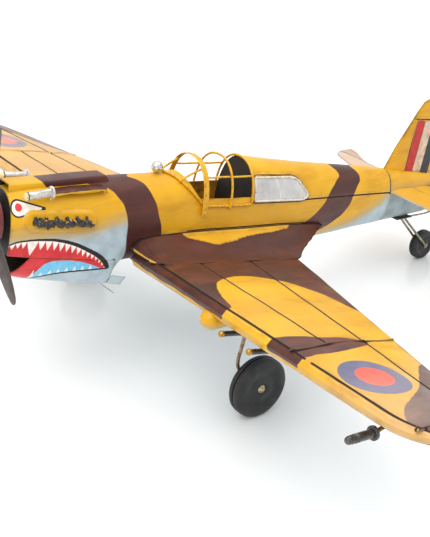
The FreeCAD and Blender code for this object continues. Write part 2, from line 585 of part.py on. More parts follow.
# pitot head on the port wing tip
pr_a, pr_b, pr_c = (246.0, 131.0, -19.6), (245.2, 120.8, -25.0), (244.8, 104.0, -26.3)
parts["pitot_rod"] = solid_of(rod((246.0, 136.0, -17.6), pr_b, 1.1).cut(wing_out))
pit = rod(pr_b, pr_c, 2.7).fuse(rod(pr_b, (245.15, 119.3, -25.1), 4.0)).fuse(rod((244.84, 105.4, -26.2), (244.76, 102.6, -26.4), 2.2))
parts["pitot_head"] = solid_of(pit.cut(rod((246.0, 136.0, -17.6), pr_b, 1.11)))

# --------------------------------------------------------------------- tail
def stab_poly(sgn, x, sweep):
    """Tailplane and elevator section: flat sandwich, rounded in plan."""
    z = 9.4 + STAB_ROLL * (sgn * x - 13.8) * 1.0
    y0 = 372.0 + sweep * (x - 13.8)
    y1 = 452.0 - 0.10 * (x - 13.8)
    x_end = 80.0
    if x > 62.0:
        k = math.sqrt(max(0.0, 1 - ((x - 62.0) / (x_end + 0.3 - 62.0)) ** 2.2))
    else:
        k = 1.0
    c = lerp(y0, y1, 0.55)
    a, b = c + (y0 - c) * k, c + (y1 - c) * k
    tt = 1.5 * (0.35 + 0.65 * k)
    m = lerp(a, b, 0.3)
    return [(sgn * x, a, z - 0.4), (sgn * x, a + (m - a) * 0.25, z + tt * 0.7), (sgn * x, m, z + tt), (sgn * x, b, z + 0.5),
            (sgn * x, b, z - 0.5), (sgn * x, m, z - tt), (sgn * x, a + (m - a) * 0.25, z - tt * 0.8)]
tail_pad = tube_of(TAIL, tail_ys, -0.03).fuse(tube_of(BODY, [345.0, 372.5], -0.03))
stab_x = [4.0, 30.0, 62.0, 70.0, 76.0, 79.0, 80.0]
rudder_gap = box(-1.6, 425.0, -60, 1.6, 500.0, 120)
for name, sgn, sweep in (("port", 1, 0.18), ("starboard", -1, 0.28)):
    s = poly_loft([stab_poly(sgn, x, sweep) for x in stab_x])
    s = s.cut(tail_pad)
    s = s.cut(box(-7.4, 425.0, -60, 7.4, 500.0, 120))
    parts["stabiliser_" + name] = solid_of(s)

# fin and rudder: one flat sandwich of sheet over the tail cone
fin_out = [(374.0, 24.0), (385.0, 42.0), (394.9, 68.7), (404.5, 82.1), (410.0, 84.2), (418.0, 85.4), (430.0, 85.0), (446.0, 82.0),
           (462.0, 72.0), (474.0, 54.0), (480.0, 34.0), (481.0, 14.0), (476.0, -2.0), (464.0, -11.0), (450.0, -12.6), (433.6, -12.6),
           (433.6, 15.0), (380.0, 15.0)]
fin = extrude_yz(fin_out, -1.3, 1.3)
parts["fin"] = solid_of(fin.cut(tail_pad))

# tail wheel fork: base plate, two wires, axle pin and a stay back to the rudder
bz = -17.2
plate_pts = [(399.0, -17.9), (417.0, -16.2), (417.0, -17.0), (399.0, -18.8)]
bp = extrude_yz(plate_pts, -5.0, 5.0)
parts["tail_base_plate"] = solid_of(bp.cut(tail_pad))
fx = TAIL_WHEEL_W / 2 + 1.1
ty, tz = TAIL_WHEEL_Y, TAIL_WHEEL_Z
fork = None
for sgn in (1, -1):
    w1 = rod((sgn * 3.2, 411.0, -18.2), (sgn * fx, ty, tz), 0.75).fuse(cyl((sgn * (fx - 0.6), ty, tz), (sgn, 0, 0), 2.0, 1.4))
    fork = w1 if fork is None else fork.fuse(w1)
fork = fork.fuse(rod((-3.2, 411.0, -18.2), (3.2, 411.0, -18.2), 0.75))
fork = fork.fuse(cyl((-fx - 0.5, ty, tz), (1, 0, 0), TAIL_AXLE_R, 2 * fx + 1.0))
parts["tail_fork"] = solid_of(fork.cut(parts["tail_base_plate"]).cut(tail_pad))
parts["tail_stay"] = solid_of(rod((0, 416.0, -18.0), (0, 452.0, -13.2), 0.7).cut(parts["fin"]).cut(tail_pad).cut(parts["tail_base_plate"]).cut(parts["tail_fork"]))
tw = wheel(0, ty, tz, TAIL_WHEEL_R, TAIL_WHEEL_W, TAIL_AXLE_R + SHAFT_FIT, 2.2)
parts["tail_wheel"] = tw

# ---------------------------------------------------------------- propeller
sp = []
for i in range(0, 15):
    u = i / 14.0
    y = SPINNER_LEN * u
    r = SPINNER_R * (1 - (1 - u) ** 1.9) ** 0.56
    sp.append((y, r))
prof = [V(0, y, r) for y, r in sp]
bs = Part.BSplineCurve(); bs.interpolate(prof[0:])
e1 = bs.toShape()
end = prof[-1]
in1 = V(0, SPINNER_LEN, SPINNER_R - 0.9)
face = Part.Face(Part.Wire([e1, Part.LineSegment(end, V(0, SPINNER_LEN, 0)).toShape(), Part.LineSegment(V(0, SPINNER_LEN, 0), prof[0]).toShape()]))
spin = face.revolve(V(0, 0, 0), V(0, 1, 0), 360)
spin = solid_of(spin)
hub_cut = cyl((0, 26.0, 0), (0, 1, 0), 14.6, 8.0)
spin = spin.cut(hub_cut)

def blade(phase):
    secs = []
    for r, c, tw_, tk in ((6.0, 5.0, -34, 2.4), (14.0, 6.0, -28, 2.2), (24.0, 8.6, -20, 1.7), (36.0, 9.6, -14, 1.4), (48.0, 8.4, -10, 1.2), (55.0, 5.8, -8, 1.0), (BLADE_R, 2.0, -7, 0.8)):
        a = math.radians(tw_)
        pts = []
        for u, v in ((-0.5, 0), (-0.25, 0.42), (0.15, 0.5), (0.5, 0), (0.15, -0.35), (-0.25, -0.35)):
            lx, ly = c * u, tk * v
            x = lx * math.cos(a) - ly * math.sin(a)
            y = lx * math.sin(a) + ly * math.cos(a)
            pts.append((x, PROP_Y + y, r))
        secs.append(pts)
    b = poly_loft(secs)
    b.rotate(V(0, 0, 0), V(0, 1, 0), phase)
    return solid_of(b)
blades = [blade(BLADE_PHASE + 120 * k) for k in range(3)]
hub = cyl((0, 26.2, 0), (0, 1, 0), 7.0, 7.0).cut(cyl((0, 20, 0), (0, 1, 0), SHAFT_R, 30))
prop = hub
for b in blades:
    prop = prop.fuse(b)
prop = solid_of(prop.cut(cyl((0, 20, 0), (0, 1, 0), SHAFT_R, 30)))
spin = solid_of(spin.cut(prop))
# slots where the blades leave the spinner
for k in range(3):
    c = rod((0, PROP_Y, 5), (0, PROP_Y, 30), 3.9)
    c.rotate(V(0, 0, 0), V(0, 1, 0), BLADE_PHASE + 120 * k)
    spin = spin.cut(c)
parts["spinner"] = solid_of(spin)
parts["propeller"] = prop
shaft = cyl((0, 26.3, 0), (0, 1, 0), SHAFT_R, 29.2).cut(parts["spinner"])
parts["propeller_shaft"] = solid_of(shaft)
nut = cyl((0, NOSE_Y + 13.3, 0), (0, 1, 0), 3.2, 2.2).cut(cyl((0, 20, 0), (0, 1, 0), SHAFT_R, 60))
parts["shaft_nut"] = solid_of(nut)

# -------------------------------------------------- place on the ground
placed = {}
bb = None
for name, s in parts.items():
    q = s.copy()
    q.rotate(V(0, 0, 0), V(1, 0, 0), -GROUND_ANGLE)
    q.translate(V(0, 0, -FLOOR))
    placed[name] = q
ymin = min(s.optimalBoundingBox(False).YMin for s in placed.values())
ymax = max(s.optimalBoundingBox(False).YMax for s in placed.values())
dy = -(ymin + ymax) / 2

def row_point(x, y, z):
    return (x, y * ct + z * st + dy, ground_height(y, z) - FLOOR)

os.makedirs("parts", exist_ok=True)
for name, q in placed.items():
    q.translate(V(0, dy, 0))
    if not q.isValid():
        print("INVALID", name)
    if q.ShapeType == "Compound" and len(q.Solids) < 2:
        print("single solid compound", name)
    q.exportStep(os.path.join("parts", name + ".step"))
    b = q.optimalBoundingBox(False)
    print("%-26s vol %9.1f  solids %d  x %7.1f %7.1f  y %7.1f %7.1f  z %7.1f %7.1f" % (name, q.Volume, len(q.Solids), b.XMin, b.XMax, b.YMin, b.YMax, b.ZMin, b.ZMax))
print("nodes", len(placed), "floor", FLOOR, "dy", dy, "tail wheel z", TAIL_WHEEL_Z)
for n, p in (("propeller", (0, PROP_Y, 0)), ("main_port", (WHEEL_X, WHEEL_Y, WHEEL_Z)), ("tail", (0, TAIL_WHEEL_Y, TAIL_WHEEL_Z))):
    print("joint", n, row_point(*p))
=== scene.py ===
import bpy
import math
import numpy as np
from mathutils import Vector, Matrix


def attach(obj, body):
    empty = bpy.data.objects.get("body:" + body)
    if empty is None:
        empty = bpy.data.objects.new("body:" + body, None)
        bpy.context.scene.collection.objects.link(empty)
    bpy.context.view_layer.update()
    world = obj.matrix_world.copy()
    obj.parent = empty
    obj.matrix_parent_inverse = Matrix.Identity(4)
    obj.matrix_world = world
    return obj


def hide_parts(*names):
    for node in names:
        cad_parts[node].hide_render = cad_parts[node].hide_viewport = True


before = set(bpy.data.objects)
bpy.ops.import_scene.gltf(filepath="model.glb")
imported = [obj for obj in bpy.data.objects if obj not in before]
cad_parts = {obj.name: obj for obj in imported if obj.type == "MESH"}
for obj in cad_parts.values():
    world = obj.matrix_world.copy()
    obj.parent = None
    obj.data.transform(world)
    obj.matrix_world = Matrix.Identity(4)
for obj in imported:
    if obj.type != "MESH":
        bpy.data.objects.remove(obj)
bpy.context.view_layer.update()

# ------------------------------------------------------------------ frames
TH = math.radians(10.78)
CT, ST = math.cos(TH), math.sin(TH)
FLOOR = -140.9397119016116
DY = -238.93731019071774


def R(p):
    """Aircraft millimetres to row-frame metres."""
    p = np.asarray(p, float)
    x, y, z = p[..., 0], p[..., 1], p[..., 2]
    return np.stack([x, y * CT + z * ST + DY, -y * ST + z * CT - FLOOR], -1) * 0.001


def Rv(p):
    q = R(p)
    return Vector((float(q[0]), float(q[1]), float(q[2])))


def rdir(d):
    d = np.asarray(d, float)
    return Vector((float(d[0]), float(d[1] * CT + d[2] * ST), float(-d[1] * ST + d[2] * CT)))


def lerp(a, b, t):
    return a + (b - a) * t


def sstep(a, b, x):
    t = np.clip((np.asarray(x, float) - a) / (b - a), 0, 1)
    return t * t * (3 - 2 * t)


def pchip(xs, ys):
    """Shape-preserving cubic through rows of values."""
    xs = np.asarray(xs, float)
    ys = np.asarray(ys, float)
    if ys.ndim == 1:
        ys = ys[:, None]
        one = True
    else:
        one = False
    h = np.diff(xs)[:, None]
    d = np.diff(ys, axis=0) / h
    m = np.zeros_like(ys)
    for i in range(1, len(xs) - 1):
        a, b = d[i - 1], d[i]
        w1, w2 = 2 * h[i] + h[i - 1], h[i] + 2 * h[i - 1]
        ok = (a * b) > 0
        m[i] = np.where(ok, (w1 + w2) / (w1 / np.where(ok, a, 1) + w2 / np.where(ok, b, 1)), 0)
    m[0], m[-1] = d[0], d[-1]

    def f(x):
        x = np.asarray(x, float)
        xc = np.clip(x, xs[0], xs[-1])
        i = np.clip(np.searchsorted(xs, xc, side="right") - 1, 0, len(xs) - 2)
        hh = (xs[i + 1] - xs[i])[..., None]
        t = ((xc - xs[i])[..., None]) / hh
        y = (2 * t**3 - 3 * t**2 + 1) * ys[i] + (t**3 - 2 * t**2 + t) * hh * m[i] + (-2 * t**3 + 3 * t**2) * ys[i + 1] + (t**3 - t**2) * hh * m[i + 1]
        return y[..., 0] if one else y

    return f


def wob(x, y, z, scale, seed, n=5):
    """Smooth wandering value between about -1 and 1, the same every run."""
    r = np.random.default_rng(seed)
    out = 0
    for _ in range(n):
        k = r.normal(size=3)
        k = k / np.linalg.norm(k) * (2 * math.pi / scale) * r.uniform(0.6, 1.5)
        out = out + np.sin(x * k[0] + y * k[1] + z * k[2] + r.uniform(0, 6.28))
    return out / n * 1.4


# ------------------------------------------------------------- mesh helpers
def grid_faces(nu, nv, wrap_v=False, flip=False):
    i = np.arange(nu - 1)[:, None]
    j = np.arange(nv if wrap_v else nv - 1)[None, :]
    j2 = (j + 1) % nv
    a, b, c, d = i * nv + j, (i + 1) * nv + j, (i + 1) * nv + j2, i * nv + j2
    f = np.stack([a, b, c, d], -1).reshape(-1, 4)
    if flip:
        f = f[:, ::-1]
    return [tuple(int(k) for k in q) for q in f]


def grid(P, wrap_v=False, flip=False):
    P = np.asarray(P, float)
    return P.reshape(-1, 3), grid_faces(P.shape[0], P.shape[1], wrap_v, flip)


def merge(*parts):
    V, F, k = [], [], 0
    for v, f in parts:
        V.append(np.asarray(v, float))
        F += [tuple(i + k for i in q) for q in f]
        k += len(v)
    return np.concatenate(V), F


def mirrored(part):
    v, f = part
    v = np.array(v, float)
    v[:, 0] *= -1
    return v, [tuple(reversed(q)) for q in f]


def both(part):
    return merge(part, mirrored(part))


def frame_of(d, up=None):
    d = np.asarray(d, float)
    d = d / np.linalg.norm(d)
    a = np.array(up if up is not None else (0, 0, 1.0), float)
    if abs(a @ d) > 0.95:
        a = np.array((1.0, 0, 0))
    u = np.cross(a, d)
    u /= np.linalg.norm(u)
    return d, u, np.cross(d, u)


def lathe(profile, origin, axis, n=32, wobble=0.0, seed=1):
    """Closed turned form: profile is (distance along axis, radius)."""
    d, u, w = frame_of(axis)
    o = np.asarray(origin, float)
    ang = 2 * math.pi * np.arange(n) / n
    P = []
    for k, (a, r) in enumerate(profile):
        rr = r
        if wobble:
            rr = r + wobble * wob(np.cos(ang) * 3, np.sin(ang) * 3, np.full(n, a), 3.0, seed)
        P.append(o + d * a + (np.cos(ang) * rr)[:, None] * u + (np.sin(ang) * rr)[:, None] * w)
    V, F = grid(np.array(P), wrap_v=True, flip=True)
    k = len(V)
    V = np.concatenate([V, [o + d * profile[0][0], o + d * profile[-1][0]]])
    m = len(profile)
    for j in range(n):
        j2 = (j + 1) % n
        F.append((k, j2, j)[::-1] if False else (k, j, j2)[::-1])
        F.append((k + 1, (m - 1) * n + j2, (m - 1) * n + j)[::-1])
    return V, F


def resample(path, step):
    path = np.asarray(path, float)
    seg = np.linalg.norm(np.diff(path, axis=0), axis=1)
    s = np.concatenate([[0], np.cumsum(seg)])
    n = max(2, int(round(s[-1] / step)) + 1)
    q = np.linspace(0, s[-1], n)
    return np.stack([np.interp(q, s, path[:, k]) for k in range(3)], -1)


def smooth_path(path, step=1.0, it=2):
    """Corner-cutting, ends kept, then even spacing."""
    p = np.asarray(path, float)
    for _ in range(it):
        q = [p[0]]
        for a, b in zip(p, p[1:]):
            q += [a * 0.75 + b * 0.25, a * 0.25 + b * 0.75]
        q.append(p[-1])
        p = np.array(q)
    return resample(p, step)


def tube(path, r, n=10, closed=False, squash=1.0, rfun=None, ends=True):
    path = np.asarray(path, float)
    m = len(path)
    if closed:
        T = np.roll(path, -1, 0) - np.roll(path, 1, 0)
    else:
        T = np.gradient(path, axis=0)
    T /= np.linalg.norm(T, axis=1)[:, None]
    _, u, w = frame_of(T[0])
    P = []
    ang = 2 * math.pi * np.arange(n) / n
    for k in range(m):
        u = u - T[k] * (u @ T[k])
        u /= np.linalg.norm(u)
        w = np.cross(T[k], u)
        rr = r if rfun is None else r * rfun(k / max(1, m - 1))
        P.append(path[k] + (np.cos(ang) * rr)[:, None] * u + (np.sin(ang) * rr * squash)[:, None] * w)
    P = np.array(P)
    if closed:
        P = np.concatenate([P, P[:1]])
        V, F = grid(P, wrap_v=True, flip=True)
        return V, F
    V, F = grid(P, wrap_v=True, flip=True)
    if ends:
        k = len(V)
        V = np.concatenate([V, [path[0] - T[0] * r * 0.35, path[-1] + T[-1] * r * 0.35]])
        for j in range(n):
            j2 = (j + 1) % n
            F.append((k, j, j2)[::-1])
            F.append((k + 1, (m - 1) * n + j2, (m - 1) * n + j)[::-1])
    return V, F


def blob(c, r, n=16, sx=1, sy=1, sz=1, rough=0.0, seed=1):
    """Lumpy solder or ball form."""
    prof = [(-r * math.cos(math.pi * i / n), max(1e-4, r * math.sin(math.pi * i / n))) for i in range(n + 1)]
    V, F = lathe(prof, (0, 0, 0), (0, 0, 1), 2 * n)
    d = V / np.maximum(1e-6, np.linalg.norm(V, axis=1))[:, None]
    if rough:
        V = V + d * (rough * wob(V[:, 0], V[:, 1], V[:, 2], r * 1.6, seed))[:, None]
    return V * np.array([sx, sy, sz]) + np.array(c), F


pieces = {}


def make(name, part, mat, replaces=(), body="airframe", attrs=None, angle=40, solid=None, rim=None, inner=None, bevel=None, weld=True, level=0):
    V, F = part
    me = bpy.data.meshes.new(name)
    me.from_pydata([tuple(map(float, p)) for p in R(V)], [], F)
    me.update()
    if weld:
        import bmesh

        bm = bmesh.new()
        bm.from_mesh(me)
        bmesh.ops.remove_doubles(bm, verts=bm.verts, dist=2e-6)
        bmesh.ops.dissolve_degenerate(bm, edges=bm.edges, dist=1e-7)
        if all(len(e.link_faces) == 2 for e in bm.edges):
            bmesh.ops.recalc_face_normals(bm, faces=bm.faces)
        bm.to_mesh(me)
        bm.free()
    co = np.zeros(len(me.vertices) * 3)
    me.vertices.foreach_get("co", co)
    co = co.reshape(-1, 3) * 1000
    # back to aircraft axes for the painted fields
    yy, zz = co[:, 1] - DY, co[:, 2] + FLOOR
    A = np.stack([co[:, 0], yy * CT - zz * ST, yy * ST + zz * CT], -1)
    for k, f in (attrs or {}).items():
        a = me.attributes.new(k, "FLOAT", "POINT")
        val = np.broadcast_to(np.asarray(f(A[:, 0], A[:, 1], A[:, 2]), float), (len(A),)).astype(np.float32)
        a.data.foreach_set("value", val)
    ob = bpy.data.objects.new(name, me)
    bpy.context.scene.collection.objects.link(ob)
    for m in [mat] + [x for x in (inner, rim) if x is not None]:
        me.materials.append(m)
    me.shade_smooth()
    me.set_sharp_from_angle(angle=math.radians(angle))
    if solid:
        md = ob.modifiers.new("sheet", "SOLIDIFY")
        md.thickness = solid * 0.001
        md.offset = -1
        md.use_even_offset = True
        md.use_quality_normals = True
        if inner is not None:
            md.material_offset = 1
            md.material_offset_rim = 2 if rim is not None else 0
    if bevel:
        md = ob.modifiers.new("edge", "BEVEL")
        md.width = bevel * 0.001
        md.segments = 2
        md.limit_method = "ANGLE"
        md.angle_limit = math.radians(35)
        md.harden_normals = False
    if level:
        md = ob.modifiers.new("smooth", "SUBSURF")
        md.levels = md.render_levels = level
    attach(ob, body)
    if replaces:
        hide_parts(*([replaces] if isinstance(replaces, str) else replaces))
    pieces[name] = ob
    return ob


# ------------------------------------------------------------- node helpers
def lin(r, g, b):
    def c(v):
        v = v / 255.0
        return v / 12.92 if v <= 0.04045 else ((v + 0.055) / 1.055) ** 2.4

    return (c(r), c(g), c(b), 1.0)


class Mat:
    def __init__(self, name):
        self.m = bpy.data.materials.new(name)
        self.m.use_nodes = True
        self.t = self.m.node_tree
        self.t.nodes.clear()
        self.out = self.t.nodes.new("ShaderNodeOutputMaterial")
        self.b = self.t.nodes.new("ShaderNodeBsdfPrincipled")
        self.t.links.new(self.b.outputs[0], self.out.inputs[0])
        self._a = {}
        self._c = None

    def link(self, a, b):
        self.t.links.new(a, b)

    def coord(self):
        if self._c is None:
            self._c = self.t.nodes.new("ShaderNodeTexCoord").outputs["Object"]
        return self._c

    def attr(self, name):
        if name not in self._a:
            n = self.t.nodes.new("ShaderNodeAttribute")
            n.attribute_name = name
            self._a[name] = n.outputs["Fac"]
        return self._a[name]

    def _in(self, sock, v):
        if isinstance(v, (int, float)):
            sock.default_value = v
        elif isinstance(v, tuple):
            sock.default_value = v
        else:
            self.link(v, sock)

    def math(self, op, a, b=0.0, c=0.0, clamp=False):
        n = self.t.nodes.new("ShaderNodeMath")
        n.operation = op
        n.use_clamp = clamp
        self._in(n.inputs[0], a)
        self._in(n.inputs[1], b)
        self._in(n.inputs[2], c)
        return n.outputs[0]

    def mix(self, f, a, b, blend="MIX"):
        n = self.t.nodes.new("ShaderNodeMix")
        n.data_type = "RGBA"
        n.blend_type = blend
        self._in(n.inputs[0], f)
        self._in(n.inputs[6], a)
        self._in(n.inputs[7], b)
        return n.outputs[2]

    def noise(self, scale, detail=3.0, rough=0.55, stretch=None, dist=0.0):
        n = self.t.nodes.new("ShaderNodeTexNoise")
        n.inputs["Scale"].default_value = scale
        n.inputs["Detail"].default_value = detail
        n.inputs["Roughness"].default_value = rough
        n.inputs["Distortion"].default_value = dist
        c = self.coord()
        if stretch is not None:
            m = self.t.nodes.new("ShaderNodeMapping")
            m.inputs["Scale"].default_value = stretch
            self.link(c, m.inputs["Vector"])
            c = m.outputs[0]
        self.link(c, n.inputs["Vector"])
        return n.outputs["Fac"]

    def voro(self, scale, feature="F1"):
        n = self.t.nodes.new("ShaderNodeTexVoronoi")
        n.feature = feature
        n.inputs["Scale"].default_value = scale
        self.link(self.coord(), n.inputs["Vector"])
        return n.outputs["Distance"]

    def remap(self, x, a, b, c=0.0, d=1.0, smooth=True):
        n = self.t.nodes.new("ShaderNodeMapRange")
        n.clamp = True
        n.interpolation_type = "SMOOTHSTEP" if smooth else "LINEAR"
        self._in(n.inputs[0], x)
        n.inputs[1].default_value = a
        n.inputs[2].default_value = b
        n.inputs[3].default_value = c
        n.inputs[4].default_value = d
        return n.outputs[0]

    def bump(self, h, strength, dist, prev=None):
        n = self.t.nodes.new("ShaderNodeBump")
        n.inputs["Strength"].default_value = strength
        n.inputs["Distance"].default_value = dist
        self.link(h, n.inputs["Height"])
        if prev is not None:
            self.link(prev, n.inputs["Normal"])
        return n.outputs[0]

    def finish(self, color=None, rough=None, metal=None, normal=None, **k):
        for s, v in (("Base Color", color), ("Roughness", rough), ("Metallic", metal), ("Normal", normal)):
            if v is not None:
                self._in(self.b.inputs[s], v)
        for s, v in k.items():
            self.b.inputs[s.replace("_", " ")].default_value = v
        return self.m


YELLOW = lin(214, 157, 14)
YELLOW_L = lin(228, 174, 28)
YELLOW_D = lin(172, 112, 10)
BROWN = lin(80, 40, 35)
BROWN_D = lin(58, 28, 27)
BROWN_R = lin(104, 52, 36)
BLUE = lin(158, 176, 184)
BLUE_L = lin(182, 198, 206)
BEIGE = lin(180, 158, 108)


def paint(name, brown=True, belly=False, extra=None, lines=True, edges=True, red_brown=0.0, base=None, blues=None, painted_sheen=False):
    """Brushed enamel over hand-worked tin: camouflage, belly colour, dirt and painted shade along seams, painted
    highlights beside them, worn edges, and an optional painted sheen.
    """
    m = Mat(name)
    n_big = m.noise(18, 3, 0.6)
    n_mid = m.noise(95, 4, 0.6)
    n_fine = m.noise(900, 3, 0.6)
    n_str = m.noise(60, 4, 0.65, stretch=(1.0, 0.25, 1.6))
    if base is not None:
        col = m.mix(m.remap(n_big, 0.35, 0.7), base[0], base[1])
    else:
        col = m.mix(m.remap(n_big, 0.32, 0.68), YELLOW, YELLOW_L)
        col = m.mix(m.math("MULTIPLY", m.remap(n_str, 0.45, 0.75), 0.45), col, YELLOW_D)
    if belly:
        w = m.math("ADD", m.attr("blue"), m.math("MULTIPLY", m.math("SUBTRACT", n_str, 0.5), 9.0))
        bl = m.mix(m.remap(n_mid, 0.3, 0.7), *(blues or (BLUE, BLUE_L)))
        f1 = m.remap(w, -9.0, 1.5)
        f2 = m.remap(w, -2.0, 8.5)
        col = m.mix(m.math("MULTIPLY", f1, 0.7), col, BEIGE)
        col = m.mix(f2, col, bl)
    if lines:
        ln = m.math("ADD", m.attr("ln"), m.math("MULTIPLY", m.math("SUBTRACT", n_mid, 0.5), 0.5))
        # painted highlight: a pale band on both sides of each seam and groove line, standing in for light catching
        # their lips
        painted_line_highlight = m.math("MULTIPLY", m.remap(ln, 1.5, 1.1), m.remap(ln, 0.7, 0.95))
        col = m.mix(m.math("MULTIPLY", painted_line_highlight, 0.28), col, m.mix(0.5, YELLOW_L, (1, 0.85, 0.5, 1)))
    if brown:
        e = m.math("ADD", m.attr("sd_brown"), m.math("MULTIPLY", m.math("SUBTRACT", n_mid, 0.5), 0.5))
        bc = m.mix(m.remap(n_big, 0.3, 0.7), BROWN, BROWN_D)
        bc = m.mix(m.math("MULTIPLY", m.remap(n_str, 0.4, 0.7), 0.5 if not red_brown else 0.9), bc, BROWN_R)
        fb = m.remap(e, -0.09, 0.09)
        # a thin darker line where the two paints meet
        col = m.mix(m.math("MULTIPLY", m.remap(m.math("ABSOLUTE", e), 0.55, 0.1), 0.35), col, BROWN_D)
        col = m.mix(fb, col, bc)
    if extra:
        col = extra(m, col)
    # painted sheen: a pale pinkish wash standing in for the white surroundings reflected at a grazing angle
    if painted_sheen:
        col = m.mix(m.math("MULTIPLY", m.attr("painted_sheen"), m.remap(n_str, 0.2, 0.7, 0.6, 1.0)), col, lin(206, 184, 170))
    seam_dirt_and_shade = None
    if lines:
        # dark core on each line and a browner band around it: dirt along the seams, painted shade in the grooves and
        # gaps, and painted shadow where a line marks a bead's or wire's shadow
        core = m.remap(ln, 0.72, 0.48)
        halo = m.remap(ln, 3.6, 0.4)
        col = m.mix(m.math("MULTIPLY", m.math("MULTIPLY", halo, m.remap(n_mid, 0.35, 0.7)), 0.4), col, lin(110, 64, 16))
        col = m.mix(m.math("MULTIPLY", core, 0.96), col, lin(26, 13, 10))
        seam_dirt_and_shade = core
    if edges:
        ed = m.math("ADD", m.attr("ed"), m.math("MULTIPLY", m.math("SUBTRACT", n_mid, 0.5), 1.1))
        rub = m.remap(ed, 0.45, 0.05)
        col = m.mix(m.math("MULTIPLY", m.math("MULTIPLY", m.remap(ed, 2.4, 0.1), m.remap(n_str, 0.4, 0.65)), 0.4), col, lin(96, 52, 18))
        col = m.mix(m.math("MULTIPLY", rub, 0.35), col, lin(60, 34, 18))
    # chips and specks of dirt
    sp = m.remap(m.noise(420, 5, 0.7), 0.71, 0.76)
    col = m.mix(m.math("MULTIPLY", sp, 0.55), col, lin(60, 36, 20))
    rough = m.remap(n_mid, 0.2, 0.8, 0.3, 0.46)
    if seam_dirt_and_shade is not None:
        rough = m.math("ADD", rough, m.math("MULTIPLY", seam_dirt_and_shade, 0.4), clamp=True)
    b = m.bump(n_big, 0.5, 0.0014)
    b = m.bump(n_mid, 0.22, 0.0005, b)
    b = m.bump(n_fine, 0.10, 0.00012, b)
    return m.finish(color=col, rough=rough, normal=b, Coat_Weight=0.05, Coat_Roughness=0.3, Specular_IOR_Level=0.36)


def simple(name, c1, c2, rough=(0.35, 0.5), metal=0.0, scale=180, dirt=None, dirt_amt=0.5, bump=0.25, stretch=None, coat=0.0, fine=1400, bdist=0.0004):
    m = Mat(name)
    n1 = m.noise(scale, 4, 0.6, stretch=stretch)
    n2 = m.noise(fine, 3, 0.6)
    col = m.mix(m.remap(n1, 0.32, 0.68), c1, c2)
    if dirt is not None:
        n3 = m.noise(scale * 2.1, 5, 0.7)
        col = m.mix(m.math("MULTIPLY", m.remap(n3, 0.52, 0.66), dirt_amt), col, dirt)
    r = m.remap(n1, 0.25, 0.75, rough[0], rough[1])
    b = m.bump(n1, bump, bdist)
    b = m.bump(n2, bump * 0.5, bdist * 0.3, b)
    return m.finish(color=col, rough=r, metal=float(metal), normal=b, Coat_Weight=coat, Coat_Roughness=0.15)


M_WIRE = simple("yellow_wire_paint", YELLOW, YELLOW_L, (0.3, 0.45), scale=220, dirt=lin(120, 70, 20), dirt_amt=0.7, coat=0.1)
M_WHITEWIRE = simple("white_wire_paint", lin(226, 222, 212), lin(200, 190, 170), (0.35, 0.5), scale=260, dirt=lin(90, 70, 50), dirt_amt=0.6)
# inside faces: a darker, browner yellow with darker patches
M_INNER = simple("darker_yellow_inside", lin(180, 132, 36), lin(134, 90, 26), (0.4, 0.6), scale=60, dirt=lin(44, 28, 16), dirt_amt=0.7)
M_BLACKIN = simple("inside_black", lin(26, 23, 22), lin(40, 34, 30), (0.5, 0.7), scale=90)
M_STEEL = simple("drawn_steel", lin(176, 168, 152), lin(128, 118, 104), (0.28, 0.45), metal=1.0, scale=260, dirt=lin(70, 56, 44), dirt_amt=0.6)
M_SOLDER = simple("solder", lin(190, 184, 172), lin(140, 132, 118), (0.25, 0.5), metal=1.0, scale=420, dirt=lin(58, 48, 40), dirt_amt=0.6, bump=0.7)
M_DARKPLATE = simple("dark_plate", lin(62, 56, 50), lin(38, 34, 32), (0.4, 0.6), metal=0.4, scale=240, dirt=lin(120, 104, 84), dirt_amt=0.4)
M_SILVER = simple("bright_metal", lin(226, 226, 228), lin(196, 196, 200), (0.16, 0.34), metal=1.0, scale=190, dirt=lin(120, 112, 104), dirt_amt=0.45, stretch=(1, 0.3, 1))
M_BRASSY = simple("peened_end", lin(200, 188, 160), lin(160, 140, 100), (0.25, 0.45), metal=1.0, scale=500, dirt=lin(70, 52, 36), dirt_amt=0.5, bump=0.6)
M_BRASS = simple("dull_brass", lin(206, 164, 74), lin(160, 116, 44), (0.3, 0.5), metal=1.0, scale=500, dirt=lin(70, 48, 24), dirt_amt=0.5)
M_ENAMEL = simple("black_enamel", lin(26, 24, 24), lin(17, 16, 17), (0.22, 0.4), scale=260, dirt=lin(92, 80, 66), dirt_amt=0.35, coat=0.3, bump=0.5)
M_RUBBER = simple("tyre_rubber", lin(36, 35, 35), lin(25, 25, 25), (0.42, 0.6), scale=120, dirt=lin(66, 62, 57), dirt_amt=0.3, bump=0.3, fine=900)
M_SPIN = simple("maroon_paint", lin(112, 34, 36), lin(88, 26, 28), (0.25, 0.4), scale=100, dirt=lin(50, 18, 16), dirt_amt=0.4, coat=0.2)
M_PROP = simple("propeller_enamel", lin(72, 60, 55), lin(52, 44, 41), (0.26, 0.42), scale=70, dirt=lin(112, 96, 84), dirt_amt=0.3, coat=0.25, stretch=(1, 1, 0.4))
M_WIN = None


def window_mat():
    m = Mat("window_panel")
    n1 = m.noise(60, 3, 0.6)
    n2 = m.noise(300, 5, 0.7, stretch=(0.3, 1, 0.2))
    n3 = m.noise(1600, 2, 0.5)
    col = m.mix(m.remap(n1, 0.3, 0.7), lin(186, 184, 184), lin(212, 210, 206))
    col = m.mix(m.math("MULTIPLY", m.remap(n2, 0.56, 0.66), 0.5), col, lin(232, 232, 230))
    col = m.mix(m.math("MULTIPLY", m.remap(n2, 0.4, 0.3), 0.35), col, lin(120, 112, 104))
    b = m.bump(n2, 0.3, 0.0003)
    b = m.bump(n3, 0.2, 0.0001, b)
    return m.finish(color=col, rough=m.remap(n2, 0.3, 0.7, 0.32, 0.5), metal=0.35, normal=b)


M_WIN = window_mat()

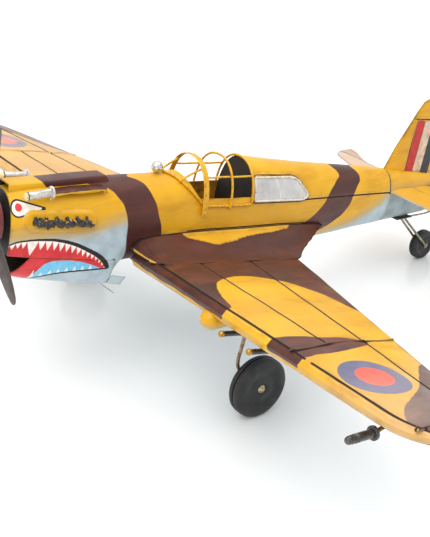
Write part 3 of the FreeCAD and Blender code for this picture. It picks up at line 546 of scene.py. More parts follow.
# ---------------------------------------------------------------- fuselage
NOSE = np.array([
    (37.0, 17.9, -3.0, 20.2, -33.5, 2.3, 2.5), (50.0, 19.0, -4.0, 21.6, -37.5, 2.3, 2.6), (75.0, 20.3, -5.5, 23.3, -42.0, 2.2, 2.7),
    (100.0, 21.0, -6.5, 24.8, -46.5, 2.1, 2.7), (112.0, 21.2, -7.0, 25.4, -48.0, 2.1, 2.7)])
BODY = np.array([
    (112.0, 21.2, -7.0, 25.4, -33.0, 2.1, 2.8), (126.0, 21.5, -7.0, 25.9, -30.2, 2.1, 2.7), (150.0, 21.75, -5.0, 26.6, -29.6, 2.1, 2.6),
    (176.3, 21.75, -4.0, 29.5, -29.6, 2.1, 2.5), (198.5, 21.7, -3.0, 34.0, -29.6, 2.2, 2.4), (219.2, 21.5, -2.5, 37.2, -29.6, 2.3, 2.4),
    (250.0, 20.2, -1.5, 34.6, -29.2, 2.3, 2.3), (276.5, 18.9, -0.5, 32.3, -28.2, 2.3, 2.2), (305.0, 17.0, 1.0, 30.4, -27.0, 2.2, 2.2),
    (345.0, 14.6, 2.0, 27.8, -22.4, 2.2, 2.2), (372.5, 13.2, 3.0, 25.6, -19.6, 2.2, 2.2)])
TAIL = np.array([(372.5, 13.2, 3.0, 25.6, -19.6, 2.2, 2.2), (400.0, 10.2, 4.0, 23.4, -16.8, 2.2, 2.2), (433.0, 5.4, 4.0, 20.6, -13.8, 2.2, 2.2)])
fNOSE, fBODY, fTAIL = (pchip(a[:, 0], a[:, 1:]) for a in (NOSE, BODY, TAIL))


def rows_at(y, chin=False):
    y = np.asarray(y, float)
    n = fNOSE(y)
    b = fBODY(y)
    t = fTAIL(y)
    if chin:
        return n
    k = sstep(108, 120, y)[..., None]
    out = np.where((y < 120)[..., None], n * (1 - k) + b * k, b)
    return np.where((y > 372.5)[..., None], t, out)


def skin(y, t, inset=0.0, chin=False):
    """Point of the fuselage surface at station y and angle t."""
    P = rows_at(y, chin)
    w, zm, zt, zb, nt, nb = (P[..., i] for i in range(6))
    c, s = np.cos(t), np.sin(t)
    up = s >= 0
    e = np.where(up, nt, nb)
    h = np.where(up, zt - zm, zm - zb)
    x = (w - inset) * np.sign(c) * np.abs(c) ** (2 / e)
    z = zm + (h - inset) * np.sign(s) * np.abs(s) ** (2 / e)
    return np.stack([x, np.broadcast_to(y, x.shape), z], -1)


def angle_z(y, z, chin=False):
    """Angle on the port side where the surface is at height z."""
    P = rows_at(y, chin)
    w, zm, zt, zb, nt, nb = (P[..., i] for i in range(6))
    up = z >= zm
    e = np.where(up, nt, nb)
    h = np.where(up, zt - zm, zm - zb)
    r = np.clip(np.abs(z - zm) / h, 0, 1)
    return np.where(up, 1, -1) * np.arcsin(r ** (e / 2))


def angle_x(y, x):
    """Angle on the upper port side where the half width is x."""
    P = rows_at(y)
    w, nt = P[..., 0], P[..., 4]
    return np.arccos(np.clip((np.clip(x / w, 0, 1)) ** (nt / 2), 0, 1))


def fus_x(y, z, inset=0.0):
    y = np.asarray(y, float)
    P = rows_at(y)
    w, zm, zt, zb, nt, nb = (P[..., i] for i in range(6))
    up = z >= zm
    e = np.where(up, nt, nb)
    h = np.where(up, zt - zm, zm - zb) - inset
    r = np.clip(np.abs(z - zm) / h, 0, 1)
    return (w - inset) * (1 - r**e) ** (1 / e)


def chin_seam_z(y):
    return -19.4 - 0.098 * (np.asarray(y, float) - 52.0)


SILL_Z, DECK_Z = 13.6, 9.2

# paint outlines on the flanks: station of each edge by height
B1L = [(-34, 121), (-24, 119.6), (-16.2, 118.4), (-8.4, 117.6), (-2.9, 117.6), (2.6, 117.1), (6.7, 116.3), (11, 114.6), (14.9, 111.8), (18.2, 109), (20, 106.8), (21.4, 104.0), (22.4, 98), (23.6, 84), (25.5, 62)]
B1R = [(-34, 147), (-16, 145.2), (-9.3, 144.2), (-1.5, 142.4), (5.2, 140.7), (11.5, 139), (17.1, 136.4), (21.7, 133.6), (24.1, 130.7), (25.1, 127.5), (25.7, 124.6), (27.5, 123)]
B2L = [(-30, 243), (-20, 256), (-14, 265), (-10.2, 273), (-8.9, 277.9), (-4.5, 284.9), (4.4, 294.4), (10.8, 298.3), (16.2, 302.3), (21.5, 307.6), (24.7, 311.5), (27.8, 310.3), (29.1, 308.2), (31, 306.6)]
B2R = [(-30, 268), (-22, 290), (-16.6, 301.7), (-12.3, 309.2), (-5.1, 319), (3.5, 325.6), (8.8, 327.4), (12.4, 329.2), (16.9, 331.6), (20.4, 334.5), (23.6, 334.9), (26.4, 332.7), (29, 330.6), (31, 330)]
fB1L, fB1R, fB2L, fB2R = (pchip([p[0] for p in a], [p[1] for p in a]) for a in (B1L, B1R, B2L, B2R))
BELLY = pchip([37, 50, 62, 80, 92, 104, 118, 150, 285, 300, 326, 341, 350, 357, 364, 372, 380, 440], [-6.5, -5, -4.5, -5.5, -3.5, 0.5, 3, -21, -24, -21.5, -14.5, -9, -5, -1.5, 3, 11, 10.5, 9.8])


def sd_fus(x, y, z):
    s = np.where(x < 0, 1.0, 0.0)
    y2 = y + s * (2.5 * np.sin(z * 0.11 + 1.0))
    a = np.minimum(y2 - fB1L(z), fB1R(z) - y2)
    b = np.minimum(y2 - fB2L(z), fB2R(z) - y2)
    k = 0.86
    return np.maximum(a, b) * k + 0.35 * wob(x, y, z, 9.0, 11)


def blue_fus(x, y, z):
    return BELLY(y) - z


# shark mouth, in the flank's own (y, z) chart
M_TOP = pchip([36.0, 41, 46.1, 55, 64.3, 70.5, 76.8, 83.4, 89.5, 95.1, 100, 103.8, 107, 108.6], [-11.0, -9.2, -8.3, -7.8, -8.2, -9.2, -10.8, -13.2, -16.1, -19.0, -22.2, -25.8, -30.2, -33])
M_BOT = pchip([30, 48, 54, 57.8, 61.3, 65.3, 70.6, 77.8, 85.2, 94.9, 101, 105.5, 107.2, 109], [-46, -40, -37.4, -35.8, -34.7, -33.6, -32.4, -31.6, -31.2, -30.9, -30.8, -30.6, -30.4, -29])
M_TNG = pchip([50, 55, 57.5, 59.1, 61.7, 65.3, 71.9, 78.9, 86.1, 93.8, 99.4, 104, 109], [-41, -35.5, -31.5, -28.2, -25.0, -23.0, -22.5, -23.0, -24.3, -26.7, -29.0, -31.5, -36])
TOOTH_Y = [33.0, 37.6, 41.2, 44.6, 48.3, 55.6, 60.4, 65.0, 69.4, 73.8, 78.0, 82.0, 85.8, 89.4, 92.8, 96.0, 98.9, 101.6, 104.1, 106.4, 108.4, 110.4]


def m_top(x, y, z):
    k = 1 / np.sqrt(1 + np.clip((M_TOP(y + 0.5) - M_TOP(y - 0.5)), -1.6, 1.6) ** 2)
    return (M_TOP(y) - z) * k


def m_bot(x, y, z):
    return z - M_BOT(y)


def m_tng(x, y, z):
    k = 1 / np.sqrt(1 + np.clip((M_TNG(y + 0.5) - M_TNG(y - 0.5)), -1.6, 1.6) ** 2)
    return (M_TNG(y) - z) * k


def m_u(x, y, z):
    # teeth lean a little forward as they hang down
    return np.interp(y + 0.12 * (M_TOP(y) - z), TOOTH_Y, np.arange(len(TOOTH_Y)))


def m_v(x, y, z):
    return (y - 57.4 + 0.05 * z) / 5.5


def eye_sd(x, y, z):
    """Teardrop: round in front, drawn out to a point behind."""
    cx, cz, r = 41.9, 11.5, 4.15
    px, pz = y - cx, z - cz
    L = 16.5
    ca = r / L
    sa = math.sqrt(1 - ca * ca)
    q = np.abs(pz)
    d_circle = r - np.hypot(px, pz)
    side = r - (px * ca + q * sa)
    return np.where(px * sa - q * ca > 0, np.minimum(side, L - px), d_circle)


def pupil_sd(x, y, z):
    return 2.25 - np.hypot(y - 42.0, z - 12.2)


def mouth_extra(m, col):
    nm = m.noise(260, 4, 0.6)
    jit = m.math("MULTIPLY", m.math("SUBTRACT", nm, 0.5), 0.55)
    top, bot, tng = (m.math("ADD", m.attr(k), jit) for k in ("m_top", "m_bot", "m_tng"))
    inside = m.math("MINIMUM", top, bot)
    f_in = m.remap(inside, -0.08, 0.08)
    red = m.mix(m.remap(m.noise(140, 3, 0.6), 0.3, 0.7), lin(222, 52, 58), lin(198, 36, 44))
    col = m.mix(f_in, col, red)
    # pale blue lower gum
    tongue = m.mix(m.remap(nm, 0.3, 0.7), lin(104, 186, 226), lin(128, 204, 236))
    col = m.mix(m.math("MULTIPLY", m.remap(tng, -0.1, 0.1), f_in), col, tongue)
    white = m.mix(m.remap(nm, 0.35, 0.75), lin(246, 242, 236), lin(226, 214, 200))
    # upper teeth: a saw tooth of varying length hanging from the outline
    u = m.attr("m_u")
    fr = m.math("ABSOLUTE", m.math("SUBTRACT", m.math("FRACT", u), 0.5))
    tri = m.math("SUBTRACT", 1.0, m.math("MULTIPLY", fr, 2.0))
    tri = m.math("POWER", tri, 0.8)
    big = m.remap(m.math("ABSOLUTE", m.math("SUBTRACT", u, 4.5)), 0.5, 0.49, 0, 1, False)
    length = m.math("ADD", m.attr("m_len"), m.math("MULTIPLY", big, 4.2))
    hgt = m.math("SUBTRACT", m.math("MULTIPLY", tri, length), m.math("SUBTRACT", top, 0.2))
    col = m.mix(m.math("MULTIPLY", m.remap(hgt, -0.1, 0.1), f_in), col, white)
    # lower teeth
    v = m.attr("m_v")
    fr2 = m.math("ABSOLUTE", m.math("SUBTRACT", m.math("FRACT", v), 0.5))
    tri2 = m.math("SUBTRACT", 0.66, m.math("MULTIPLY", fr2, 2.6))
    big2 = m.remap(m.math("ABSOLUTE", m.math("SUBTRACT", v, -0.5)), 0.5, 0.49, 0, 1, False)
    len2 = m.math("ADD", 5.9, m.math("MULTIPLY", big2, 6.5))
    h2 = m.math("SUBTRACT", m.math("MULTIPLY", tri2, len2), bot)
    on = m.math("MULTIPLY", m.remap(v, -0.98, -0.97, 0, 1, False), m.remap(v, 7.0, 6.9, 0, 1, False))
    col = m.mix(m.math("MULTIPLY", m.math("MULTIPLY", m.remap(h2, -0.1, 0.1), f_in), on), col, white)
    # black outline, heavier towards the corner
    wid = m.attr("m_w")
    d1 = m.math("SUBTRACT", m.math("ABSOLUTE", m.math("ADD", top, 0.2)), wid)
    d1 = m.math("MAXIMUM", d1, m.math("MULTIPLY", m.math("ADD", bot, 0.9), -1.0))
    d2 = m.math("SUBTRACT", m.math("ABSOLUTE", m.math("ADD", bot, 0.1)), 0.62)
    d2 = m.math("MAXIMUM", d2, m.math("MULTIPLY", m.math("ADD", top, 0.9), -1.0))
    line = m.remap(m.math("MINIMUM", d1, d2), 0.08, -0.08)
    col = m.mix(m.math("MULTIPLY", line, m.attr("m_on")), col, lin(24, 20, 20))
    # eye
    e = m.math("ADD", m.attr("eye"), m.math("MULTIPLY", jit, 0.5))
    col = m.mix(m.remap(e, -0.95, -0.82), col, lin(26, 22, 22))
    col = m.mix(m.remap(e, -0.02, 0.1), col, white)
    col = m.mix(m.remap(m.math("ADD", m.attr("pupil"), jit), -0.1, 0.1), col, lin(222, 60, 68))
    return col


def m_len(x, y, z):
    return np.interp(y, [36, 42, 49, 56, 62, 72, 84, 95, 104], [3.0, 3.4, 5.0, 6.4, 6.6, 6.4, 5.2, 3.8, 2.4])


def m_w(x, y, z):
    return np.interp(y, [36, 50, 66, 84, 100, 108], [0.5, 0.6, 0.9, 1.2, 1.5, 1.7])


def closed_smooth(pts, it=2):
    p = np.array(pts, float)
    for _ in range(it):
        q = np.roll(p, -1, 0)
        p = np.stack([p * 0.75 + q * 0.25, p * 0.25 + q * 0.75], 1).reshape(-1, p.shape[1])
    return p


def poly_sd(px, py, poly):
    """Signed distance to a closed outline, positive inside."""
    px, py = np.asarray(px, float), np.asarray(py, float)
    d = np.full(px.shape, 1e9)
    inside = np.zeros(px.shape, bool)
    n = len(poly)
    for i in range(n):
        x1, y1 = poly[i]
        x2, y2 = poly[(i + 1) % n]
        ex, ey = x2 - x1, y2 - y1
        L = ex * ex + ey * ey + 1e-12
        t = np.clip(((px - x1) * ex + (py - y1) * ey) / L, 0, 1)
        d = np.minimum(d, np.hypot(px - x1 - t * ex, py - y1 - t * ey))
        c = (y1 > py) != (y2 > py)
        with np.errstate(divide="ignore", invalid="ignore"):
            xi = (x2 - x1) * (py - y1) / (y2 - y1 + 1e-12) + x1
        inside ^= c & (px < xi)
    return np.where(inside, d, -d)


wz = [(221.4, 10.6), (268.5, 9.5), (273.6, 10.6), (274.6, 13.6), (264.0, 24.0), (258.6, 25.6), (221.4, 26.8)]
wz = [tuple(p) for p in resample(np.c_[np.array(wz + wz[:1]), np.zeros(len(wz) + 1)], 2.4)[:-1, :2]]
wo = closed_smooth(wz, 2)


# painted shadow: a dark line just outside the rear window wire
def window_wire_shadow_line(y, z):
    return np.abs(poly_sd(y, z, wo) + 1.35) + np.where((y > 217) & (y < 279), 0.12, 40)


def nearest_seam_fus(x, y, z):
    d = np.abs(z - DECK_Z) + np.where((y > 266) & (y < 373), 0, 40)
    d = np.minimum(d, np.abs(y - 372.5) + np.where(z > 8, 0, 0.5))
    d = np.minimum(d, np.abs(z - chin_seam_z(y)) + np.where(y < 104, 0.5, 40))
    # dark line where the root fillet meets the flank: painted shade and dirt in the joint between the two sheets
    fz = np.interp(y, [121, 127.5, 144, 182, 215, 242, 256, 272, 286, 296], [-16.8, -10.9, -8.3, -7.5, -7.7, -7.9, -8.2, -9.1, -10.1, -10.9])
    d = np.minimum(d, np.abs(z - fz) + np.where((y > 122) & (y < 292), 0.1, 40))
    d = np.minimum(d, window_wire_shadow_line(y, z))
    return d


def edge_fus(x, y, z):
    d = np.abs(y - 37.0)
    open_edge = np.where((y > 178) & (y < 219.2), np.abs(z - SILL_Z), 50)
    d = np.minimum(d, open_edge)
    return d


FUS_ATTR = {
    "sd_brown": sd_fus, "blue": blue_fus, "ln": nearest_seam_fus, "ed": edge_fus,
    "m_top": m_top, "m_bot": m_bot, "m_tng": m_tng, "m_u": m_u, "m_v": m_v, "m_len": m_len, "m_w": m_w, "eye": eye_sd, "pupil": pupil_sd,
    "m_on": lambda x, y, z: np.where(y < 109.5, 1.0, 0.0),
}


def nose_mask(part_attr):
    return part_attr


M_FUS = paint("camouflage_fuselage", belly=True, extra=mouth_extra)
M_TIN = paint("camouflage_plain", belly=True)
# tail cone belly blue painted darker: painted shade, as the cone is angled away from the light
M_TAILC = paint("camouflage_tail", belly=True, blues=(lin(126, 142, 146), lin(158, 172, 174)))


def t_seam(y):
    y = np.asarray(y, float)
    yc = np.minimum(y, 112.0)
    a = angle_z(yc, chin_seam_z(yc), chin=True)
    return a


def t_top(y):
    """Upper limit of the shell on the port side: crown, cockpit edge, or deck seam."""
    y = np.asarray(y, float)
    full = np.full(y.shape, math.pi / 2)
    xo = 19.5 * np.sqrt(np.clip(1 - ((178 - y) / 13.0) ** 2, 0, 1))
    xs = fus_x(y, SILL_Z)
    a_front = angle_x(y, np.minimum(xo, xs))
    a_sill = angle_z(y, SILL_Z)
    a_cock = np.where(y < 178, np.maximum(a_front, a_sill), a_sill)
    a_deck = angle_z(y, DECK_Z)
    out = np.where(y < 165.0, full, np.where(y < 219.1, a_cock, a_deck))
    return out


ys = np.concatenate([np.arange(37, 112, 1.0), np.arange(112, 164.9, 1.3), 165 + 13 * (1 - np.cos(np.linspace(0, math.pi / 2, 15))), np.arange(179.5, 218, 1.6), [218.9, 219.25], np.arange(221, 372.4, 1.7), [372.45]])
nU, nL = 46, 20
seam_a = t_seam(ys)
top_a = t_top(ys)
uu = np.linspace(0, 1, nU + 1)
T = seam_a[:, None] * (1 - uu) + top_a[:, None] * uu
Yg = np.repeat(ys[:, None], nU + 1, 1)
PU = skin(Yg, T)
ysl = ys[ys >= 112]
ll = np.linspace(0, 1, nL + 1)
TL = -math.pi / 2 * (1 - ll) + seam_a[ys >= 112][:, None] * ll
PL = skin(np.repeat(ysl[:, None], nL + 1, 1), TL)


def dent(P, amp=0.16, seed=3):
    """Faint hand-worked unevenness of the sheet."""
    P = np.array(P)
    w = wob(P[..., 0], P[..., 1], P[..., 2], 42.0, seed)
    P[..., 0] += amp * w * np.sign(P[..., 0]) * np.clip(np.abs(P[..., 0]) / 8.0, 0, 1)
    P[..., 2] += amp * 0.5 * wob(P[..., 0], P[..., 1], P[..., 2], 38.0, seed + 1)
    return P


shell = merge(grid(dent(PU)), grid(dent(PL)))
make("fuselage_shell", both(shell), M_FUS, "fuselage_skin", attrs=FUS_ATTR, solid=0.75, inner=M_INNER, rim=M_FUS, angle=55)

# chin cowling
yc = np.linspace(0, 1, 72)
tf = np.linspace(0, 1, 40)
front = 41.0 + 10.6 * tf**2.2
Yc = front[None, :] + (111.9 - front[None, :]) * yc[:, None]
Tc = -math.pi / 2 * (1 - tf[None, :]) + t_seam(Yc) * tf[None, :] - 0.004
Pc = skin(Yc, Tc, chin=True)


def ln_chin(x, y, z):
    return np.abs(z - chin_seam_z(y)) + np.where(y < 104, 0.5, 9)


CH_ATTR = dict(FUS_ATTR)
CH_ATTR["ln"] = ln_chin
CH_ATTR["ed"] = lambda x, y, z: np.minimum(np.abs(y - 112), np.abs(y - 41.5 - 9.5 * np.clip((z + 46) / 27, 0, 1) ** 2.2))
make("chin_cowling", both(grid(dent(Pc, 0.12))), M_FUS, "chin_cowl", attrs=CH_ATTR, solid=0.7, inner=simple("chin_inside", lin(92, 84, 74), lin(60, 54, 48), (0.5, 0.7), scale=80), rim=M_FUS, angle=55)

# turtle deck
yd = np.concatenate([np.arange(219.3, 372.3, 1.6), [372.4]])
ud = np.linspace(0, 1, 34)
Td = angle_z(yd, DECK_Z + 0.12)[:, None] * (1 - ud) + math.pi / 2 * ud
Pd = skin(np.repeat(yd[:, None], len(ud), 1), Td, inset=-0.18)
DK_ATTR = dict(FUS_ATTR)
DK_ATTR["ln"] = lambda x, y, z: np.minimum(np.abs(z - DECK_Z) + np.where(y > 268, 0, 0.5), np.minimum(window_wire_shadow_line(y, z), np.minimum(np.abs(y - 372.5), np.abs(y - 219.4) + 0.2)))
DK_ATTR["ed"] = lambda x, y, z: np.full(np.shape(y), 30.0)
make("turtle_deck_sheet", both(grid(dent(Pd, 0.12, 9))), M_TIN, "turtle_deck", attrs=DK_ATTR, solid=0.75, inner=M_INNER, rim=M_TIN, angle=60)

# tail cone
yt = np.concatenate([[372.62], np.arange(374, 433, 1.6), [433.0]])
ut = np.linspace(-1, 1, 61)
Pt = skin(np.repeat(yt[:, None], len(ut), 1), np.repeat((ut * math.pi / 2)[None, :], len(yt), 0), inset=0.12)
cap_f = np.stack([Pt[0], np.stack([np.zeros(61), np.full(61, 372.62), Pt[0][:, 2]], -1)])
cap_r = np.stack([Pt[-1], np.stack([np.zeros(61), np.full(61, 433.0), Pt[-1][:, 2]], -1)])
tc = merge(grid(Pt), grid(cap_f, flip=True), grid(cap_r))
TC_ATTR = dict(FUS_ATTR)
TC_ATTR["ln"] = lambda x, y, z: np.minimum(np.abs(y - 372.8) + np.where(z > 8, 0, 0.6), np.abs(z - 9.9 + 0.10 * np.sign(x) * (np.abs(x) - 13.8)) + 0.3)
TC_ATTR["ed"] = lambda x, y, z: np.abs(y - 433)
TC_ATTR["sd_brown"] = lambda x, y, z: np.full(np.shape(y), -20.0)
make("tail_cone_sheet", both(tc), M_TAILC, "tail_cone", attrs=TC_ATTR, angle=50)

# exhaust pressing: a raised oval blended into the flank
def oval_sd(y, z):
    t = np.clip((y - 51.2) / (87.8 - 51.2), 0, 1)
    yy, zz = lerp(51.2, 87.8, t), lerp(4.0, 2.8, t)
    return 7.2 - np.hypot(y - yy, z - zz)


yp = np.linspace(42.4, 96.6, 92)
zp = np.linspace(-5.4, 12.8, 40)
YP, ZP = np.meshgrid(yp, zp, indexing="ij")
XP = fus_x(YP, ZP)
lift = -0.35 + 1.8 * sstep(-0.2, 1.7, oval_sd(YP, ZP)) - 0.25 * sstep(1.7, 4.5, oval_sd(YP, ZP))
Pp = np.stack([XP + lift, YP, ZP], -1)
PR_ATTR = dict(FUS_ATTR)
PR_ATTR["ln"] = lambda x, y, z: np.abs(oval_sd(y, z) + 0.15) * 0.8 + 0.65
PR_ATTR["ed"] = lambda x, y, z: np.full(np.shape(y), 30.0)
for side, f in (("port", lambda p: p), ("starboard", mirrored)):
    make("exhaust_pressing_" + side, f(grid(Pp)), M_TIN, "exhaust_panel_" + side, attrs=PR_ATTR, angle=60)


def lumpy_stack():
    parts = []
    r = np.random.default_rng(5)
    for i in range(6):
        y = 51.6 + 6.9 * i
        z = 4.2 - 0.2 * i
        x = float(fus_x(y + 2, z)) + 1.6
        for k in range(5):
            parts.append(blob((x + 0.5 + r.uniform(-0.3, 1.3), y + r.uniform(-1.6, 3.2), z + r.uniform(-2.3, 1.7)), r.uniform(1.15, 2.25), 10, rough=0.8, seed=50 + i * 7 + k))
        parts.append(blob((x + 1.9, y + 2.6, z - 1.4), 1.75, 10, sy=1.3, rough=0.45, seed=90 + i))
        parts.append(blob((x + 0.5, y - 0.4, z + 2.5), 1.15, 8, sz=1.3, rough=0.3, seed=120 + i))
    ctr = [(float(fus_x(y, 3.4)) + 1.7, y, 3.9 - 0.028 * (y - 49)) for y in np.linspace(50.2, 89.0, 20)]
    parts.append(tube(ctr, 1.75, 12))
    return merge(*parts)


def enamel_gold_and_highlight():
    m = Mat("stack_enamel")
    n = m.noise(330, 4, 0.6)
    col = m.mix(m.remap(n, 0.3, 0.7), lin(22, 20, 20), lin(36, 32, 29))
    # gold on the faces that look up: partly gold paint on the stud tips, partly painted highlight
    up = m.t.nodes.new("ShaderNodeNewGeometry").outputs["Normal"]
    sx = m.t.nodes.new("ShaderNodeSeparateXYZ")
    m.link(up, sx.inputs[0])
    g = m.math("MULTIPLY", m.remap(sx.outputs[2], 0.35, 0.9), m.remap(m.noise(210, 2, 0.5), 0.52, 0.62))
    col = m.mix(m.math("MULTIPLY", g, 0.85), col, lin(206, 150, 34))
    b = m.bump(n, 0.5, 0.0006)
    return m.finish(color=col, rough=m.remap(n, 0.3, 0.7, 0.16, 0.34), normal=b, Coat_Weight=0.3, Coat_Roughness=0.12)


M_STACK = enamel_gold_and_highlight()
stk = lumpy_stack()
for side, f in (("port", lambda p: p), ("starboard", mirrored)):
    ob = make("exhaust_lumps_" + side, f(stk), M_STACK, "exhaust_stack_" + side, weld=False, angle=80)
    rm = ob.modifiers.new("melt", "REMESH")
    rm.mode = "VOXEL"
    rm.voxel_size = 0.00038
    rm.use_smooth_shade = True
    sm = ob.modifiers.new("soften", "SMOOTH")
    sm.factor = 0.5
    sm.iterations = 3

# gun fairings: flat ledge with a wandering turned-down lip
led_y = np.linspace(62.6, 101.2, 60)
led = pchip([62.6, 80.0, 100.5, 101.2], [[17.0, 21.0, 16.9, 18.3], [16.6, 22.2, 16.6, 19.8], [15.8, 22.9, 15.9, 20.6], [15.7, 22.9, 15.8, 20.7]])


def ledge_part():
    rows = []
    for y in led_y:
        ax, az, bx, bz = led(y)
        w = 0.55 * math.sin((y - 62) * 0.2) * sstep(63, 72, y) + 0.2 * math.sin((y - 60) * 0.53)
        az2 = az + w * 0.55 - 0.25
        bz2 = bz + w * 0.7 + 0.35
        row = []
        for u in np.linspace(0, 1, 9):
            row.append((lerp(6.2, ax - 0.4, u), y, az - 0.05 + w * 0.5 * u * u - 0.25 * u * u))
        row += [(ax, y, az2 - 0.25), (ax + 0.22, y, az2 - 0.75), (bx + 0.25, y, bz2 + 0.6), (bx + 0.1, y, bz2), (bx - 0.9, y, bz2 - 0.15), (bx - 1.6, y, bz2 + 0.5)]
        rows.append(row)
    P = np.array(rows)
    e = np.array(P[-1])
    e2 = e.copy()
    e2[:, 1] += 0.5
    e2[:, 2] -= 2.2
    P = np.concatenate([P, e2[None]])
    return grid(P, flip=True)


def sd_ledge(x, y, z):
    L = led(np.clip(y, 62.6, 101.2))
    return z - (L[..., 1] - 0.55) + 0.12 * wob(x, y, z, 7, 3)


LG_ATTR = {"sd_brown": sd_ledge, "ln": lambda x, y, z: np.abs(z - (led(np.clip(y, 62.6, 101.2))[..., 1] - 0.6)) * 0.9 + 0.42, "ed": lambda x, y, z: np.full(np.shape(y), 9.0), "blue": lambda x, y, z: np.full(np.shape(y), -40.0)}
make("gun_ledges", both(ledge_part()), M_TIN, "gun_fairings", attrs=LG_ATTR, solid=0.6, angle=50)

# air scoop: an inverted channel with rounded shoulders, open in front, sloped off behind
sc_f = pchip([38.4, 64.0, 81.0, 101.0, 109.5], [[6.95, 24.25], [6.9, 25.3], [6.8, 26.6], [6.6, 27.7], [6.2, 28.0]])


def scoop_row(y, drop=0.0, shrink=0.0):
    w, zt = sc_f(min(y, 109.5))
    w -= shrink
    zt -= drop
    zf = float(np.interp(y, [38, 64, 81, 101, 110], [18.0, 20.6, 22.0, 23.2, 23.9])) - 1.5
    pts = []
    r = 1.5
    for s in np.linspace(0, 1, 5):
        pts.append((w, y, lerp(min(zf, zt - r), zt - r, s)))
    for a in np.linspace(0, math.pi / 2, 6)[1:]:
        pts.append((w - r + r * math.cos(a), y, zt - r + r * math.sin(a)))
    pts.append((w * 0.4, y, zt + 0.05))
    pts.append((0, y, zt + 0.07))
    return pts


rows = [scoop_row(y) for y in np.arange(38.4, 105.0, 1.3)]
rows += [scoop_row(105.6, 0.15), scoop_row(106.4, 0.55), scoop_row(107.3, 1.35, 0.1), scoop_row(108.6, 2.9, 0.25), scoop_row(109.6, 4.4, 0.5)]
P = np.array(rows)
P[:, :, 2] += 0.1 * wob(P[..., 0], P[..., 1], P[..., 2], 30, 21)


def sd_scoop(x, y, z):
    return y - (60.3 + (25.0 - z) * 0.95) + 0.3 * wob(x, y, z, 8, 5)


SC_ATTR = {
    "sd_brown": sd_scoop, "blue": lambda x, y, z: np.full(np.shape(y), -40.0),
    "ln": lambda x, y, z: np.abs(z - (np.interp(y, [38, 64, 81, 101, 110], [18.0, 20.6, 22.0, 23.2, 23.9]) + 0.1)) + 0.15,
    "ed": lambda x, y, z: np.minimum(np.abs(y - 38.4), 30)}
make("scoop_channel", both(grid(P)), M_TIN, "intake_scoop", attrs=SC_ATTR, solid=0.75, inner=M_BLACKIN, rim=M_TIN, angle=50)

# nose guns: bright sleeve, pale ball tip, flange
def gun_parts(droop, sgn):
    x, z = 17.2 * sgn, 21.6
    d = np.array([0, 1, droop])
    d = d / np.linalg.norm(d)
    at = lambda y: np.array([x, y, z + droop * (y - 61.4)])
    sleeve = lathe([(0.0, 1.4), (0.02, 2.5), (0.5, 2.62), (5.0, 2.55), (10.0, 2.6), (14.6, 2.55), (14.9, 3.6), (15.2, 4.0), (15.9, 4.05), (16.3, 3.7), (16.35, 1.7), (17.4, 1.6), (17.6, 0.2)], at(46.4), d, 30, 0.06, 4)
    ring = lathe([(-0.75, 2.0), (-0.7, 2.56), (-0.05, 2.66), (0.05, 2.3), (0.3, 0.5)], at(46.4), d, 30)
    tip = lathe([(-2.9, 0.05), (-2.75, 0.9), (-2.4, 1.55), (-1.8, 2.15), (-1.1, 2.45), (-0.7, 2.5), (-0.5, 1.5)], at(46.4), d, 30, 0.05, 6)
    peg = tube([(x * 0.93, 62.2, z - 5.0), (x * 0.97, 62.0, z - 2.5), (x, 61.8, z - 0.5)], 0.6, 8)
    return sleeve, ring, tip, peg


def gun_mat():
    m = Mat("gun_sleeve")
    n = m.noise(300, 5, 0.7, stretch=(1, 0.4, 1))
    n2 = m.noise(120, 3, 0.6)
    col = m.mix(m.remap(n, 0.35, 0.62), lin(176, 170, 160), lin(236, 236, 236))
    col = m.mix(m.math("MULTIPLY", m.remap(n2, 0.55, 0.68), 0.6), col, lin(96, 84, 70))
    return m.finish(color=col, rough=m.remap(n, 0.3, 0.7, 0.2, 0.4), metal=0.75, normal=m.bump(n, 0.4, 0.0004))


M_GUN = gun_mat()
M_CREAM = simple("cream_tip", lin(236, 222, 176), lin(216, 190, 128), (0.3, 0.45), scale=380, dirt=lin(120, 80, 40), dirt_amt=0.5)
for side, sgn, dr in (("port", 1, 0.12), ("starboard", -1, -0.03)):
    a, b, c, d = gun_parts(dr, sgn)
    make("gun_sleeve_" + side, merge(a, d), M_GUN, "nose_gun_" + side, angle=35)
    make("gun_ring_" + side, b, M_ENAMEL, angle=35)
    make("gun_ball_" + side, c, M_CREAM, angle=60)


# radiator flaps
def flap_part(p0, p1, drop, back, bend=0.6):
    n, k = 9, 10
    P = np.zeros((n, k, 3))
    for i in range(n):
        u = i / (n - 1)
        for j in range(k):
            v = j / (k - 1)
            x = lerp(p0[0], p1[0], v) + drop[0] * u
            z = lerp(p0[1], p1[1], v) + drop[1] * u - bend * math.sin(math.pi * u) * 0.5
            P[i, j] = (x, 112.1 + back * u, z)
    return grid(P)


fl = merge(flap_part((18.4, -36.2), (12.6, -43.8), (1.2, -1.6), 10.0), mirrored(flap_part((18.4, -36.2), (12.6, -43.8), (1.2, -1.6), 10.0)), flap_part((6.0, -46.9), (-6.0, -46.9), (0.0, -8.4), 12.0))
FL_ATTR = {"ed": lambda x, y, z: np.minimum(np.abs(y - 112.1), np.minimum(np.abs(y - 122.1) + 0.2, 3.0)), "ln": lambda x, y, z: np.full(np.shape(y), 9.0)}
M_BLUE = paint("belly_sheet", brown=False, base=(BLUE, BLUE_L), lines=True)
M_FLAP = paint("flap_sheet", brown=False, base=(lin(150, 168, 174), lin(182, 198, 202)), lines=True)
make("outlet_flaps", fl, M_FLAP, "cowl_flaps", attrs=FL_ATTR, solid=0.55)

